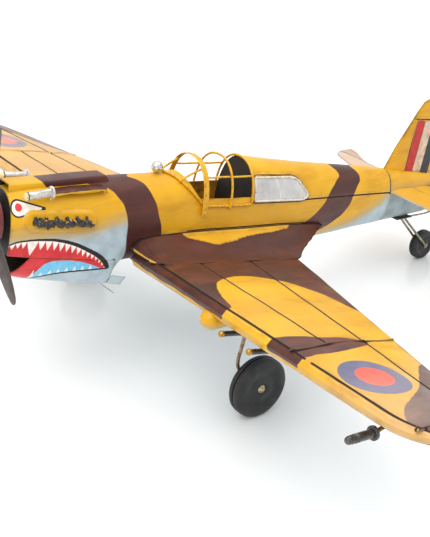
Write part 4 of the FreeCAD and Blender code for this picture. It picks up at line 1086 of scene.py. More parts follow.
# ------------------------------------------------------------------ canopy
BASE = [(0, 153.8, 27.9), (4.0, 156.0, 27.7), (8.0, 158.8, 26.7), (12.0, 161.2, 24.7), (16.2, 165.2, 20.9), (19.2, 170.8, 15.4)]
sidep = []
for y, z in ((176.5, 9.2), (184.0, 8.9), (198.5, 8.6), (208.0, 8.7), (217.6, 8.9)):
    sidep.append((float(fus_x(y, z)) + 0.8, y, z))
port = BASE + sidep
base_path = [(-a, b, c) for a, b, c in reversed(port)] + port[1:]
bp = smooth_path(base_path, 1.1, 2)
bp[:, 2] += 0.12 * wob(bp[:, 0], bp[:, 1], bp[:, 2], 22, 31)
make("canopy_base_wire", tube(bp, 0.95, 10), M_WIRE, "canopy_base_rail", angle=70)


def arch(y, w, z0, h, n, foot, lean=0.0, N=46):
    pts = [(w, y, foot)]
    for i in range(1, N):
        t = math.pi * i / N
        c, s = math.cos(t), math.sin(t)
        pts.append((w * math.copysign(abs(c) ** (2 / n), c), y + lean * s, z0 + h * abs(s) ** (2 / n)))
    pts.append((-w, y, foot))
    return np.array(pts)


def strip(path, width, thick):
    """Flat strip bent along a path that lies across the fuselage."""
    path = resample(path, 1.4)
    T = np.gradient(path, axis=0)
    T /= np.linalg.norm(T, axis=1)[:, None]
    side_v = np.array([0, 1.0, 0])
    nrm = np.cross(side_v, T)
    nrm /= np.linalg.norm(nrm, axis=1)[:, None]
    P = []
    for p, n in zip(path, nrm):
        w, t = width / 2, thick / 2
        row = [p + side_v * a + n * b for a, b in ((-w, -t * 0.5), (-w, t * 0.5), (-w + 0.25, t), (w - 0.25, t), (w, t * 0.5), (w, -t * 0.5), (w - 0.25, -t), (-w + 0.25, -t))]
        P.append(row)
    P = np.array(P)
    V, F = grid(P, wrap_v=True, flip=True)
    m = len(P)
    F.append(tuple(range(8)))
    F.append(tuple(reversed(range((m - 1) * 8, m * 8))))
    return V, F


bow = arch(176.3, 23.3, 3.6, 35.8, 2.35, 2.9, lean=0.0)
bow = bow[::-1]
rivets = [blob((sg * 23.7, 176.3, 4.6), 0.95, 8, sx=0.6) for sg in (1, -1)]
make("windscreen_strip", merge(strip(bow, 4.3, 0.75), *rivets), M_WIRE, "windscreen_bow", angle=35)
mid = arch(198.5, 22.6, 8.2, 31.2, 2.3, 6.4, lean=0.6)
mid = resample(mid, 1.2)
make("canopy_middle_wire", tube(mid, 0.82, 10), M_WIRE, "canopy_mid_arch", angle=70)
rear = arch(218.2, 21.6, 8.4, 29.6, 2.3, 9.8)
make("canopy_rear_wire", tube(resample(rear, 1.2), 0.88, 10), M_WIRE, "canopy_rear_arch", angle=70)
posts = []
for sg in (1, -1):
    posts.append(tube([(sg * 12.2, 159.8, 24.4), (sg * 12.6, 164.0, 27.4), (sg * 13.2, 170.0, 30.6), (sg * 13.6, 175.2, 33.0)], 0.8, 8))
    posts.append(blob((sg * 12.3, 160.3, 24.9), 1.05, 8, rough=0.15, seed=3))
make("windscreen_post_wires", merge(*posts), M_WIRE, "windscreen_posts", angle=70)
rails = []
for sg in (1, -1):
    pts = np.array([(sg * 16.9, y, 27.9 + 0.1 * math.sin(y * 0.3)) for y in np.linspace(177.4, 217.6, 30)])
    rails.append(tube(pts, 0.75, 8))
make("canopy_rail_wires", merge(*rails), M_WIRE, "canopy_side_rails", angle=70)

# dark panel closing the rear of the cockpit
tb = np.linspace(float(angle_z(np.array(219.1), np.array(-20.0))), math.pi - float(angle_z(np.array(219.1), np.array(-20.0))), 64)
ring_ = skin(np.full(64, 218.75), tb, inset=0.35)
ring_[:, 2] = np.minimum(ring_[:, 2], 37.0)
ring2 = ring_ + np.array([0, 0.55, 0])
cen = ring_.mean(0)
mid_a = ring_ * 0.5 + cen * 0.5
mid_b = mid_a + np.array([0, 0.55, 0])
bk = merge(grid(np.stack([mid_a * 0.02 + cen * 0.98, mid_a, ring_, ring2, mid_b, mid_b * 0.02 + (cen + np.array([0, 0.55, 0])) * 0.98]), wrap_v=True))
make("rear_panel", bk, M_BLACKIN, "rear_bulkhead", angle=40)

# rear quarter windows
fx = fus_x(wo[:, 0], wo[:, 1], -0.55)
win_path = np.stack([fx, wo[:, 0], wo[:, 1]], -1)


def window_panel():
    yw = np.linspace(221.6, 273.8, 54)
    zw = np.linspace(10.2, 26.8, 20)
    Y, Z = np.meshgrid(yw, zw, indexing="ij")
    sd = poly_sd(Y, Z, wo)
    X = fus_x(Y, Z, -0.45 + 0.0) + 0.12 * wob(Y * 0, Y, Z, 14, 41)
    V = np.stack([X, Y, Z], -1).reshape(-1, 3)
    keep = (sd > -0.9).reshape(-1)
    F = [q for q in grid_faces(54, 20) if all(keep[i] for i in q)]
    used = sorted(set(i for q in F for i in q))
    mp = {i: k for k, i in enumerate(used)}
    return V[used], [tuple(mp[i] for i in q) for q in F]


for side, f in (("port", lambda p: p), ("starboard", mirrored)):
    make("window_sheet_" + side, f(window_panel()), M_WIN, "rear_window_" + side, angle=60, solid=0.4)
    make("window_wire_" + side, f(tube(win_path, 0.8, 10, closed=True)), M_WHITEWIRE, "window_frame_" + side, angle=70)

# -------------------------------------------------------------------- wing
HALF_SPAN, TIP_START = 286.0, 250.0


def wing_lines(x):
    x = np.asarray(x, float)
    L = np.stack([127.2 - 0.052 * x, -18.9 + 0.042 * x], -1)
    A = np.stack([160.5 - 0.097 * x, -20.3 + 0.051 * x], -1)
    B = np.stack([209.5 - 0.213 * x, -22.5 + 0.050 * x], -1)
    Tt = np.stack([262.3 - 0.366 * x, -25.2 + 0.054 * x], -1)
    E = np.stack([138.2 - 0.063 * x, -34.6 + 0.060 * x], -1)
    M = np.stack([A[..., 0] + 6.0, -35.2 + 0.060 * x], -1)
    N = np.stack([B[..., 0], -31.6 + 0.060 * x], -1)
    F = np.stack([L[..., 0] - 3.2, lerp(L[..., 1], E[..., 1], 0.34)], -1)
    G = np.stack([L[..., 0] - 0.6, lerp(L[..., 1], E[..., 1], 0.72)], -1)
    return L, A, B, Tt, E, M, N, F, G


def squeeze(P, x):
    """Rounded wing tip: sections shrink about a line as they near the tip."""
    L, A, B, Tt, E = wing_lines(x)[:5]
    r = np.clip((x - TIP_START) / (HALF_SPAN + 0.4 - TIP_START), 0, 1)
    k = np.sqrt(np.clip(1 - r**2.3, 0, 1))
    cy = lerp(L[..., 0], Tt[..., 0], 0.62)
    cz = lerp(L[..., 1], Tt[..., 1], 0.62) - 1.5
    kz = np.where(k > 0.2, 0.25 + 0.75 * k, 0.4 * np.maximum(k, 0.16) / 0.2)
    kz = np.minimum(kz, 1.0)
    k, kz, cy, cz = (v[..., None] if P.ndim == v.ndim + 2 else v for v in (k, kz, cy, cz))
    out = P.copy()
    out[..., 0] = cy + (P[..., 0] - cy) * k
    out[..., 1] = cz + (P[..., 1] - cz) * kz
    return out


def seg_interp(knots, s):
    """Piecewise-straight section through knots at parameters 0..n-1."""
    K = np.stack(knots, -2)
    n = K.shape[-2]
    i = np.clip(np.floor(s).astype(int), 0, n - 2)
    f = (s - i)[..., None]
    a = np.take_along_axis(K, i[..., None, None], -2)[..., 0, :]
    b = np.take_along_axis(K, (i + 1)[..., None, None], -2)[..., 0, :]
    return a * (1 - f) + b * f


xs_w = np.concatenate([np.arange(22.6, 250, 1.5), 250 + 36 * np.sin(np.linspace(0, math.pi / 2, 26))])


def around(c, w=0.8, n=5):
    return np.linspace(c - w, c + w, n)


s_w = np.unique(np.concatenate([np.linspace(0, 3, 70), around(1, 0.035), around(2, 0.028), [0.0, 0.02, 0.04]]).round(5))
s_w = s_w[(s_w >= 0) & (s_w <= 3)]


def rib_y(u):
    return u


def rib1_x(y, sgn=1.0):
    """Bead along the chord at about two thirds of the span."""
    return 184.6 + 0.9 * np.sin(y * 0.11) + 0.01 * (y - 150)


def upper_part():
    X = np.repeat(xs_w[:, None], len(s_w), 1)
    S = np.repeat(s_w[None, :], len(xs_w), 0)
    L, A, B, Tt = (np.repeat(k[:, None, :], len(s_w), 1) for k in wing_lines(xs_w)[:4])
    Q = seg_interp([L, A, B, Tt], S)
    # faint crown between folds
    fr = S - np.floor(np.minimum(S, 2.9999))
    Q[..., 1] += 0.55 * np.sin(np.pi * fr) * np.where(S < 1, 0.5, 1.0)
    gA = np.exp(-(((S - 1) * 32 / 0.62) ** 2)) * sstep(184, 182.5, X)
    gB = np.exp(-(((S - 2) * 40 / 0.62) ** 2))
    Q[..., 1] -= 0.6 * np.maximum(gA, gB)
    Q[..., 1] += 0.22 * wob(X, Q[..., 0], 0 * X, 46, 61)
    Q = squeeze(Q, X)
    return np.concatenate([X[..., None], Q], -1), S


WU, SU = upper_part()


def wing_z(x, y):
    """Height of the upper surface over a plan point."""
    x = np.abs(np.asarray(x, float))
    L, A, B, Tt = wing_lines(x)[:4]
    out = np.where(y <= L[..., 0], L[..., 1], 0)
    K = [L, A, B, Tt]
    for a, b in zip(K, K[1:]):
        t = (y - a[..., 0]) / (b[..., 0] - a[..., 0])
        out = np.where((y > a[..., 0]) & (y <= b[..., 0]), lerp(a[..., 1], b[..., 1], t), out)
    return np.where(y > Tt[..., 0], Tt[..., 1], out)


INB = [(10, 90), (128.5, 90), (127.4, 116), (126.8, 121.5), (123.6, 125.1), (116.6, 126.9), (106.5, 130.1), (95.3, 136.2), (88, 142), (83.8, 149.3), (80.8, 159.3), (81.3, 169.8), (85, 181.6), (90.4, 191.5), (97, 196.0), (108.8, 200.0), (117.3, 203.2), (128, 205.6), (136.5, 206.4), (143.4, 207.9), (150, 212), (120, 240), (10, 330)]
MID = [(168.2, 90), (168.2, 116), (168.9, 124.9), (170.5, 131.6), (173.0, 138.9), (176.2, 145.6), (178.2, 152), (179.8, 159.9), (182.6, 166.7), (185.4, 171.0), (187.5, 171.6), (189.4, 169.4), (191.3, 164.1), (193.4, 156.5), (195.0, 142.5), (194.4, 132.8), (193.0, 125.7), (193.9, 121.1), (193.2, 116), (194, 90)]
OUT = [(215.5, 200), (216.6, 184.4), (218.2, 178.9), (221.4, 174.2), (225.6, 169.6), (231.0, 163.4), (236.4, 157.4), (241.6, 150.2), (246.4, 141.4), (250.6, 131.9), (254, 125.2), (257.4, 121.1), (261.8, 117.2), (265.9, 115.2), (270.3, 114.2), (272.8, 113.4), (276, 111.6), (300, 110), (300, 210)]
FOUT = [(184, 205), (189.5, 193.4), (194, 187.2), (199.6, 182.2), (206, 177.4), (213.5, 172.8), (221, 169.6), (230.2, 165.9), (238, 161.2), (244.1, 155.4), (251, 146), (258, 134), (266, 122), (274, 113), (300, 110), (300, 215)]
FINB = [(10, 90), (74, 90), (72, 128), (66, 150), (60, 175), (62, 200), (70, 222), (76, 240), (10, 330)]
INB, MID, OUT, FOUT, FINB = (closed_smooth(p, 1) for p in (INB, MID, OUT, FOUT, FINB))


def sd_wing(x, y, z):
    ax = np.abs(x)
    p = np.maximum(np.maximum(poly_sd(ax, y, INB), poly_sd(ax, y, MID)), poly_sd(ax, y, OUT))
    s = np.maximum(poly_sd(ax, y, FINB), poly_sd(ax, y, FOUT))
    rib = 1.3 - np.abs(ax - rib1_x(y) - 0.3)
    p = np.maximum(p, np.where(y < 209.5 - 0.213 * ax, rib, -9))
    return np.where(x > 0, p, s) + 0.22 * wob(x, y, 0 * x, 7, 71)


def round_sd(x, y, z):
    return np.where(x > 0, 18.7 - np.hypot(x - 224.5, y - 136.5), 18.4 - np.hypot(x + 212.0, y - 141.0))


def ln_wing(x, y, z):
    ax = np.abs(x)
    L, A, B, Tt = (squeeze(k, ax) for k in wing_lines(ax)[:4])
    dL = np.abs(y - L[:, 0] - 0.15) + np.where((ax > 195.2) & (ax < 198.6), 2.0, 0)
    dA = np.abs(y - A[:, 0]) + np.where(ax < 183.5, 0, 40)
    dB = np.abs(y - B[:, 0])
    d = np.maximum(np.minimum(np.minimum(dL, dA), dB) - 0.14, 0)
    # dark shadow line that runs along the far side of the rib bead
    rx = rib1_x(y)
    dr = np.abs(ax - rx - 1.35) + np.where(y < B[:, 0] - 1, 0, 0.0)
    d = np.minimum(d, dr * 0.75)
    # dark line along the outboard bead: painted shadow
    dr2 = np.abs(ax - 271.5 - 0.02 * (y - 114)) + 0.1
    return np.minimum(d, dr2)


def ed_wing(x, y, z):
    ax = np.abs(x)
    Tt = wing_lines(ax)[3]
    return np.minimum(np.abs(Tt[:, 0] - y) + 0.1 + np.where(ax > 250, 20, 0), 20)


def roundel_extra(m, col):
    j = m.math("MULTIPLY", m.math("SUBTRACT", m.noise(150, 3, 0.6), 0.5), 0.5)
    r = m.math("ADD", m.attr("round"), j)
    nb = m.noise(70, 4, 0.6)
    bl = m.mix(m.remap(nb, 0.3, 0.7), lin(84, 88, 122), lin(104, 108, 140))
    rd = m.mix(m.remap(nb, 0.3, 0.7), lin(222, 76, 60), lin(232, 96, 78))
    col = m.mix(m.remap(r, -0.1, 0.1), col, bl)
    return m.mix(m.remap(r, 8.45, 8.65), col, rd)


W_ATTR = {"sd_brown": sd_wing, "ln": ln_wing, "ed": ed_wing, "round": round_sd, "blue": lambda x, y, z: np.full(np.shape(y), -40.0)}
# painted sheen amount: rising towards the port tip, and spread over the starboard wing
def painted_sheen_wing(x, y, z):
    return np.where(x > 0, 0.34 * sstep(190, 262, x), 0.12 + 0.30 * sstep(-60, -200, x))


W_ATTR["painted_sheen"] = painted_sheen_wing
M_WING = paint("camouflage_wing", extra=roundel_extra, red_brown=1.0, painted_sheen=True)


def bead(y0, y1, xf, r, lift=0.15):
    yy = np.linspace(y0, y1, 60)
    xx = np.array([float(xf(v)) for v in yy])
    zz = wing_z(xx, yy) + lift
    return tube(np.stack([xx, yy, zz], -1), r, 8, squash=0.8)


L0 = wing_lines(184.0)
rib1 = bead(float(L0[0][0]) - 2.2, float(L0[3][0]) - 0.6, rib1_x, 0.8)
rib2 = tube(np.array([(271.6 + 0.02 * (y - 114), y, wing_z(271.6, y) - 0.25 - 0.012 * (y - 114)) for y in np.linspace(113.6, 154, 40)]), 0.7, 8)
nub = blob((271.2, 113.4, -7.0), 1.1, 8, rough=0.2, seed=8)
up_port = merge(grid(WU), rib1, rib2, nub)
make("wing_sheet_port", up_port, M_WING, "wing_upper_skin_port", attrs=W_ATTR, angle=38)
make("wing_sheet_starboard", mirrored(up_port), M_WING, "wing_upper_skin_starboard", attrs=W_ATTR, angle=38)

# leading edge strip
s_le = np.array([0, 0.25, 0.5, 0.75, 0.9, 1.0, 1.12, 1.35, 1.6, 1.85, 2.0, 2.2, 2.5, 2.8, 3.0])


def le_part():
    X = np.repeat(xs_w[:, None], len(s_le), 1)
    S = np.repeat(s_le[None, :], len(xs_w), 0)
    L, A, B, Tt, E, M, N, F, G = wing_lines(xs_w)
    L = L.copy()
    L[:, 0] -= 0.0
    L[:, 1] += 0.22
    rs = lambda k: np.repeat(k[:, None, :], len(s_le), 1)
    # ridge stands a little proud, front face rounded under
    F2 = F.copy()
    F2[:, 0] -= 0.2
    F2[:, 1] = F[:, 1] + 0.55
    Q = seg_interp([rs(L), rs(F2), rs(G), rs(E)], S)
    Q[..., 0] -= 0.35 * np.sin(np.pi * np.clip(S - 1, 0, 1)) * (S > 1) * (S < 2)
    Q[..., 1] += 0.14 * wob(X, Q[..., 0], 0 * X, 34, 81)
    Q[..., 0] += 0.2 * wob(X, 0 * X, 0 * X, 40, 82)
    Q = squeeze(Q, X)
    return grid(np.concatenate([X[..., None], Q], -1), flip=True)


def le_frac(x, y, z):
    """0 at the upper seam, 1 at the lower edge."""
    ax = np.minimum(np.abs(x), 250)
    L, _, _, _, E = wing_lines(ax)[:5]
    return np.clip((L[:, 1] - z) / (L[:, 1] - E[:, 1]), -0.2, 1.2)


def sd_le(x, y, z):
    ax = np.abs(x)
    port = np.maximum(np.maximum(126.2 - ax, np.minimum(ax - 168.0, 193.5 - ax)), ax - 279.0)
    star = np.maximum(74 - ax, ax - 277.0)
    h = (0.5 + 0.06 * wob(x, 0 * x, 0 * x, 12, 83) - le_frac(x, y, z)) * 14
    return np.minimum(np.where(x > 0, port, star), h)


def ln_le(x, y, z):
    ax = np.abs(x)
    L = squeeze(wing_lines(ax)[0], ax)
    f = le_frac(x, y, z)
    d1 = np.abs(y - L[:, 0] + 0.1) + np.where((ax > 195.2) & (ax < 198.6), 2.0, 0)
    return np.minimum(d1, np.abs(f - 1.02) * 10 + np.where(ax < 250, 0.3, 9))


LE_ATTR = {"sd_brown": sd_le, "ln": ln_le, "ed": lambda x, y, z: np.minimum(np.abs(np.abs(x) - 22.6), 9), "blue": lambda x, y, z: (le_frac(x, y, z) - 1.05) * 14.0}
LE_ATTR["painted_sheen"] = painted_sheen_wing
M_LE = paint("camouflage_leading_edge", belly=True, painted_sheen=True)
make("leading_strip_port", le_part(), M_LE, "leading_edge_port", attrs=LE_ATTR, angle=32)
make("leading_strip_starboard", mirrored(le_part()), M_LE, "leading_edge_starboard", attrs=LE_ATTR, angle=32)

# lower skin with a closed trailing edge
xs_l = np.concatenate([np.linspace(0, 22, 12), np.arange(24, 250, 2.5), 250 + 36 * np.sin(np.linspace(0, math.pi / 2, 26))])
s_lo = np.linspace(0, 4, 45)


def lower_part():
    X = np.repeat(xs_l[:, None], len(s_lo), 1)
    S = np.repeat(s_lo[None, :], len(xs_l), 0)
    L, A, B, Tt, E, M, N, F, G = wing_lines(xs_l)
    T2 = Tt.copy()
    T2[:, 0] -= 0.3
    T2[:, 1] -= 1.55
    rs = lambda k: np.repeat(k[:, None, :], len(s_lo), 1)
    Q = seg_interp([rs(E), rs(M), rs(N), rs(T2), rs(Tt)], S)
    Q[..., 1] -= 0.25 * wob(X, Q[..., 0], 0 * X, 50, 91) * (S < 3)
    Q = squeeze(Q, X)
    return grid(np.concatenate([X[..., None], Q], -1), flip=True)


def ln_low(x, y, z):
    ax = np.abs(x)
    L, A, B, Tt, E, M, N, F, G = wing_lines(ax)
    d = np.minimum(np.abs(y - N[:, 0]), np.abs(y - E[:, 0] - 1.0))
    d = np.minimum(d, np.abs(ax - 184.6))
    return np.minimum(d, np.abs(ax - 24.0))


LO_ATTR = {"ln": ln_low, "ed": lambda x, y, z: np.abs(wing_lines(np.abs(x))[3][:, 0] - y)}
make("wing_under_sheet", both(lower_part()), M_BLUE, "wing_lower_skin", attrs=LO_ATTR, angle=40)

# root fillets
FIL = np.array([(121.0, -17.2, 44.0), (127.5, -11.5, 54.0), (144.0, -9.0, 55.0), (182.0, -8.2, 54.2), (215.0, -8.4, 53.6), (242.0, -8.6, 53.0), (256.0, -8.9, 44.0), (272.0, -9.8, 34.0), (286.0, -10.8, 25.0), (296.0, -11.6, 18.9)])
fFIL = pchip(FIL[:, 0], FIL[:, 1:])


def fillet_part():
    rows = []
    for y in np.concatenate([np.arange(121, 150, 1.3), np.arange(150, 240, 2.2), np.arange(240, 296.1, 1.4)]):
        zf, xo = fFIL(y)
        xi = float(fus_x(y, zf)) + 0.1
        zo = float(wing_z(np.array([xo]), np.array([max(y, 128.0)]))[0]) + 0.3
        if y < 127:
            zo = -18.9 + 0.042 * xo - (127.2 - 0.052 * xo - y) * 0.55
        if y > 243:
            zo = lerp(-22.3, zf, (y - 243) / (296.0 - 243)) + 0.1
        row = []
        for u in np.linspace(0, 1, 26):
            x = lerp(xi, xo, u)
            z = lerp(zf, zo, 1 - (1 - u) ** 1.7)
            if 0 < u < 1 and y <= 243:
                z = max(z, float(wing_z(np.array([max(x, 22.6)]), np.array([max(y, 128.0)]))[0]) + 0.3)
            row.append((x, y, z))
        rows.append(row)
    P = np.array(rows)
    P[..., 2] += 0.25 * wob(P[..., 0], P[..., 1], P[..., 2], 24, 95) * np.clip((P[..., 0] - 24) / 6, 0, 1)
    # ragged outer hem
    P[:, -1, 0] += 0.35 * wob(P[:, -1, 0] * 0, P[:, -1, 1], P[:, -1, 1] * 0, 6, 96)
    return grid(P, flip=True)


STRIP_Z = pchip([121, 156.5, 160, 172, 185, 200, 216, 232, 246, 256, 262, 268, 300], [60, 30.0, -9.0, -12.2, -14.0, -13.6, -12.4, -11.9, -11.5, -11.0, -8.6, -6, -4])


def sd_fillet(x, y, z):
    ax = np.abs(x)
    strip_d = (STRIP_Z(y) - z)  # positive below the yellow strip
    front = (y - 122.5) * 0.9 + (-(z + 19.0)) * 0.0
    front = y - (122.3 + (ax - 22) * 0.06)
    return np.minimum(strip_d * 0.8, front) + 0.25 * wob(x, y, z, 6, 97)


def ln_fillet(x, y, z):
    ax = np.abs(x)
    v = fFIL(np.clip(y, 121, 296))
    d = np.abs(v[:, 1] - ax) * 0.9 + 0.05
    d2 = np.abs(z - v[:, 0]) + 0.15
    d3 = np.abs(y - 121.0) + 0.4
    return np.minimum(np.minimum(d, d2), d3)


FI_ATTR = {"sd_brown": sd_fillet, "ln": ln_fillet, "ed": lambda x, y, z: np.full(np.shape(y), 9.0), "blue": lambda x, y, z: np.where(y < 126, (-20.5 - z) * 1.2, -30)}
make("root_sheet_port", fillet_part(), M_TIN, "root_fillet_port", attrs=FI_ATTR, solid=0.7, angle=50)
make("root_sheet_starboard", mirrored(fillet_part()), M_TIN, "root_fillet_starboard", attrs=FI_ATTR, solid=0.7, angle=50)

# undercarriage fairing balls
def bullet_part():
    gx, gy, gz, gr = 111.2, 122.8, -27.3, 6.6
    prof = [(-gr * math.cos(a), max(0.02, gr * math.sin(a))) for a in np.linspace(0, math.pi / 2, 18)]
    prof += [(6, 6.2), (12, 5.6), (18, 4.9), (24, 4.3), (30, 3.6), (34, 3.1)]
    prof += [(34 + 3.0 * math.sin(a), max(0.02, 3.1 * math.cos(a))) for a in np.linspace(0.2, math.pi / 2, 8)]
    return lathe(prof, (gx, gy, gz), (0, 1, 0.03), 40, 0.1, 15)


BU_ATTR = {"blue": lambda x, y, z: (-30.6 - z) * 2.2, "sd_brown": lambda x, y, z: np.full(np.shape(y), -9.0), "ed": lambda x, y, z: np.full(np.shape(y), 9.0), "ln": lambda x, y, z: np.full(np.shape(y), 9.0)}
M_BALL = paint("ball_paint", belly=True)
for side, f in (("port", lambda p: p), ("starboard", mirrored)):
    make("gear_ball_" + side, f(bullet_part()), M_BALL, "gear_fairing_" + side, attrs=BU_ATTR, angle=70)

# wing guns
gun_ends = [((131.05, 116.0, -26.5), (131.4, 141.0, -28.6)), ((158.03, 113.8, -24.36), (158.4, 139.0, -26.8))]
tubes_, tips_ = [], []
for p, q in gun_ends:
    p, q = np.array(p), np.array(q)
    d = q - p
    Lg = np.linalg.norm(d)
    prof = [(0.0, 0.9), (0.05, 1.5)] + [(t, 1.58 + 0.05 * math.sin(t * 2.1)) for t in np.linspace(0.6, Lg - 0.6, 26)] + [(Lg, 1.2)]
    tubes_.append(lathe(prof, p, d, 20, 0.05, 23))
    tips_.append(lathe([(-2.5, 0.3), (-2.45, 0.95), (-2.1, 1.5), (-1.2, 1.86), (-0.3, 1.8), (0.15, 1.6), (0.2, 0.4)], p, d, 20, 0.05, 24))
make("gun_tubes_port", merge(*tubes_), M_ENAMEL, "wing_guns_port", angle=50)
make("gun_tubes_starboard", mirrored(merge(*tubes_)), M_ENAMEL, "wing_guns_starboard", angle=50)
make("gun_muzzles", both(merge(*tips_)), M_BRASS, "gun_tips", angle=50)

# undercarriage legs, bindings
WX_, WXS_, WY_, WZ_ = 100.6, 136.0, 181.6, -87.518


def leg_points(sgn, top_x, knee_x, low_x, foot_x, wheel_x):
    """Both wires lean the same way, so the two sides are drawn apart."""
    return [(sgn * top_x, 151.0, -27.0), (sgn * knee_x, 154.9, -47.0), (sgn * low_x, 165.2, -75.2), (sgn * foot_x, 181.6, WZ_), (sgn * (wheel_x + 3.6), 181.6, WZ_)]


legs = {"port": leg_points(1, 112.0, 108.0, 94.0, 92.6, WX_), "starboard": leg_points(-1, 112.0, 114.5, 126.5, 128.0, WXS_)}


def leg_mat():
    m = Mat("leg_wire")
    n = m.noise(160, 4, 0.65)
    col = m.mix(m.remap(n, 0.35, 0.65), lin(172, 150, 122), lin(122, 92, 66))
    col = m.mix(m.math("MULTIPLY", m.remap(m.noise(420, 4, 0.7), 0.5, 0.65), 0.6), col, lin(70, 54, 42))
    return m.finish(color=col, rough=m.remap(n, 0.3, 0.7, 0.3, 0.5), metal=0.9, normal=m.bump(n, 0.4, 0.0005))


M_LEG = leg_mat()
for side, pts in legs.items():
    make("leg_wire_" + side, tube(smooth_path(pts, 1.2, 2), 1.2, 12), M_LEG, "gear_leg_" + side, angle=60)
winds = []
for k, (side, pts) in enumerate(legs.items()):
    p0, p1 = np.array(pts[0]), np.array(pts[1])
    axp, axq = lerp(p0, p1, 0.38), lerp(p0, p1, 0.9)
    turns = 10
    th_ = np.linspace(0, turns * 2 * math.pi, turns * 14)
    dd, uu_, ww_ = frame_of(axq - axp)
    hel = np.array([axp + (axq - axp) * (t / th_[-1]) + (uu_ * math.cos(t) + ww_ * math.sin(t)) * 1.4 for t in th_])
    sx = 1.0 if side == "port" else -1.0
    end = lerp(p0, p1, 0.72)
    winds += [tube(hel, 0.5, 7), tube(smooth_path([(sx * 112.4, 139.0, -26.5), lerp(np.array((sx * 112.4, 139.0, -26.5)), end, 0.6) + np.array((0, 0.6, -0.8)), end + np.array((0, -1.3, 0))], 1.2, 1), 0.8, 8)]
    winds += [blob(lerp(p0, p1, 0.46), 1.85, 10, sz=1.3, rough=0.35, seed=61 + k), blob(lerp(p0, p1, 0.82), 1.8, 10, sz=1.3, rough=0.35, seed=65 + k)]
make("leg_windings", merge(*winds), M_SOLDER, "leg_bindings", angle=60)


# wheels
def wheel_part(r, w, hub, recess, n=96, treads=True):
    h = w / 2
    prof = [(-h + 0.9, hub * 0.55), (-h + 0.55, hub * 0.9), (-h + 0.35, hub), (-h + 0.1, hub + 0.9), (-h + 0.35, r * 0.34), (-h + 0.8, r * 0.44), (-h + 0.85, r * 0.50), (-h + 0.35, r * 0.58), (-h + 0.05, r * 0.68), (-h, r * 0.76),
            (-h + 0.2, r * 0.84), (-h * 0.88, r * 0.915), (-h * 0.76, r * 0.962), (-h * 0.6, r * 0.99), (-h * 0.4, r * 0.999), (-h * 0.2, r), (-h * 0.11, r - 0.3), (-h * 0.05, r - 1.15)]
    return prof + [(-a, b) for a, b in reversed(prof)]


def recess_prof(prof, h, r_in, depth):
    """Sink the outer face inside r_in by depth."""
    out = []
    for a, b in prof:
        if a > 0 and b < r_in:
            out.append((a - depth, b))
        elif a > 0 and b >= r_in and out and out[-1][1] > r_in and b - r_in < 1e-6:
            out.append((a, b))
        else:
            out.append((a, b))
    return out


mwp = wheel_part(21.0, 10.8, 3.4, 2.9)
front_half = [(a, b) for a, b in mwp if a < 0]
back_half = [(a, b) for a, b in mwp if a > 0 and b > 4.0]
mwp = front_half + back_half + [(4.45, 3.6), (4.2, 3.05), (3.55, 2.95), (3.5, 1.4)]
main_w = lathe(mwp, (WX_, WY_, WZ_), (1, 0, 0), 110)
make("tyre_port", main_w, M_RUBBER, "main_wheel_port", body="wheel_port", angle=34)
shift_s = lambda part: (part[0] + np.array([WX_ - WXS_, 0.0, 0.0]), part[1])
make("tyre_starboard", shift_s(mirrored(main_w)), M_RUBBER, "main_wheel_starboard", body="wheel_starboard", angle=34)
cap = lathe([(3.55, 0.3), (3.6, 2.8), (4.3, 2.9), (4.65, 2.6), (4.7, 1.9), (4.9, 1.65), (5.5, 1.5), (6.0, 1.1), (6.2, 0.45), (6.22, 0.05)], (WX_, WY_, WZ_), (1, 0, 0), 26, 0.12, 33)
make("axle_ends", merge(cap, shift_s(mirrored(cap))), M_BRASSY, "axle_caps", angle=45)

# pitot head
pa, pb, pc = np.array((246.0, 136.0, -17.6)), np.array((245.1, 119.2, -25.3)), np.array((244.9, 102.2, -25.9))
M_ROD = simple("brassy_rod", lin(150, 112, 62), lin(110, 78, 42), (0.3, 0.5), metal=0.8, scale=300, dirt=lin(60, 44, 30), dirt_amt=0.5)
make("pitot_wire", tube(smooth_path([pa, (245.7, 130.0, -20.6), (245.3, 123.5, -24.0), pb + np.array((0, -2, -0.4))], 1.0, 1), 1.1, 10), M_ROD, "pitot_rod", angle=60)
dP = pc - pb
LP = np.linalg.norm(dP)
pr_ = [(-0.9, 0.4), (-0.85, 3.2), (-0.5, 3.65), (0.9, 3.7), (1.3, 3.2), (1.35, 2.4), (2.2, 2.32)]
pr_ += [(t, 2.32) for t in (4, 6, 8, 10, 11.2)] + [(11.4, 2.0), (11.9, 2.0), (12.1, 2.34), (13.0, 2.32), (13.2, 1.95), (13.7, 1.95), (13.9, 2.26), (14.8, 2.24), (15.0, 1.9), (15.5, 1.9), (15.7, 2.15), (16.6, 2.1), (17.4, 1.8), (18.0, 1.3), (18.2, 0.2)]
M_PITOT = simple("pitot_dark", lin(66, 64, 66), lin(46, 44, 46), (0.22, 0.4), metal=0.35, scale=160, dirt=lin(150, 142, 132), dirt_amt=0.5, coat=0.25, bump=0.4)
make("pitot_barrel", lathe(pr_, pb, dP, 30, 0.06, 44), M_PITOT, "pitot_head", angle=35)

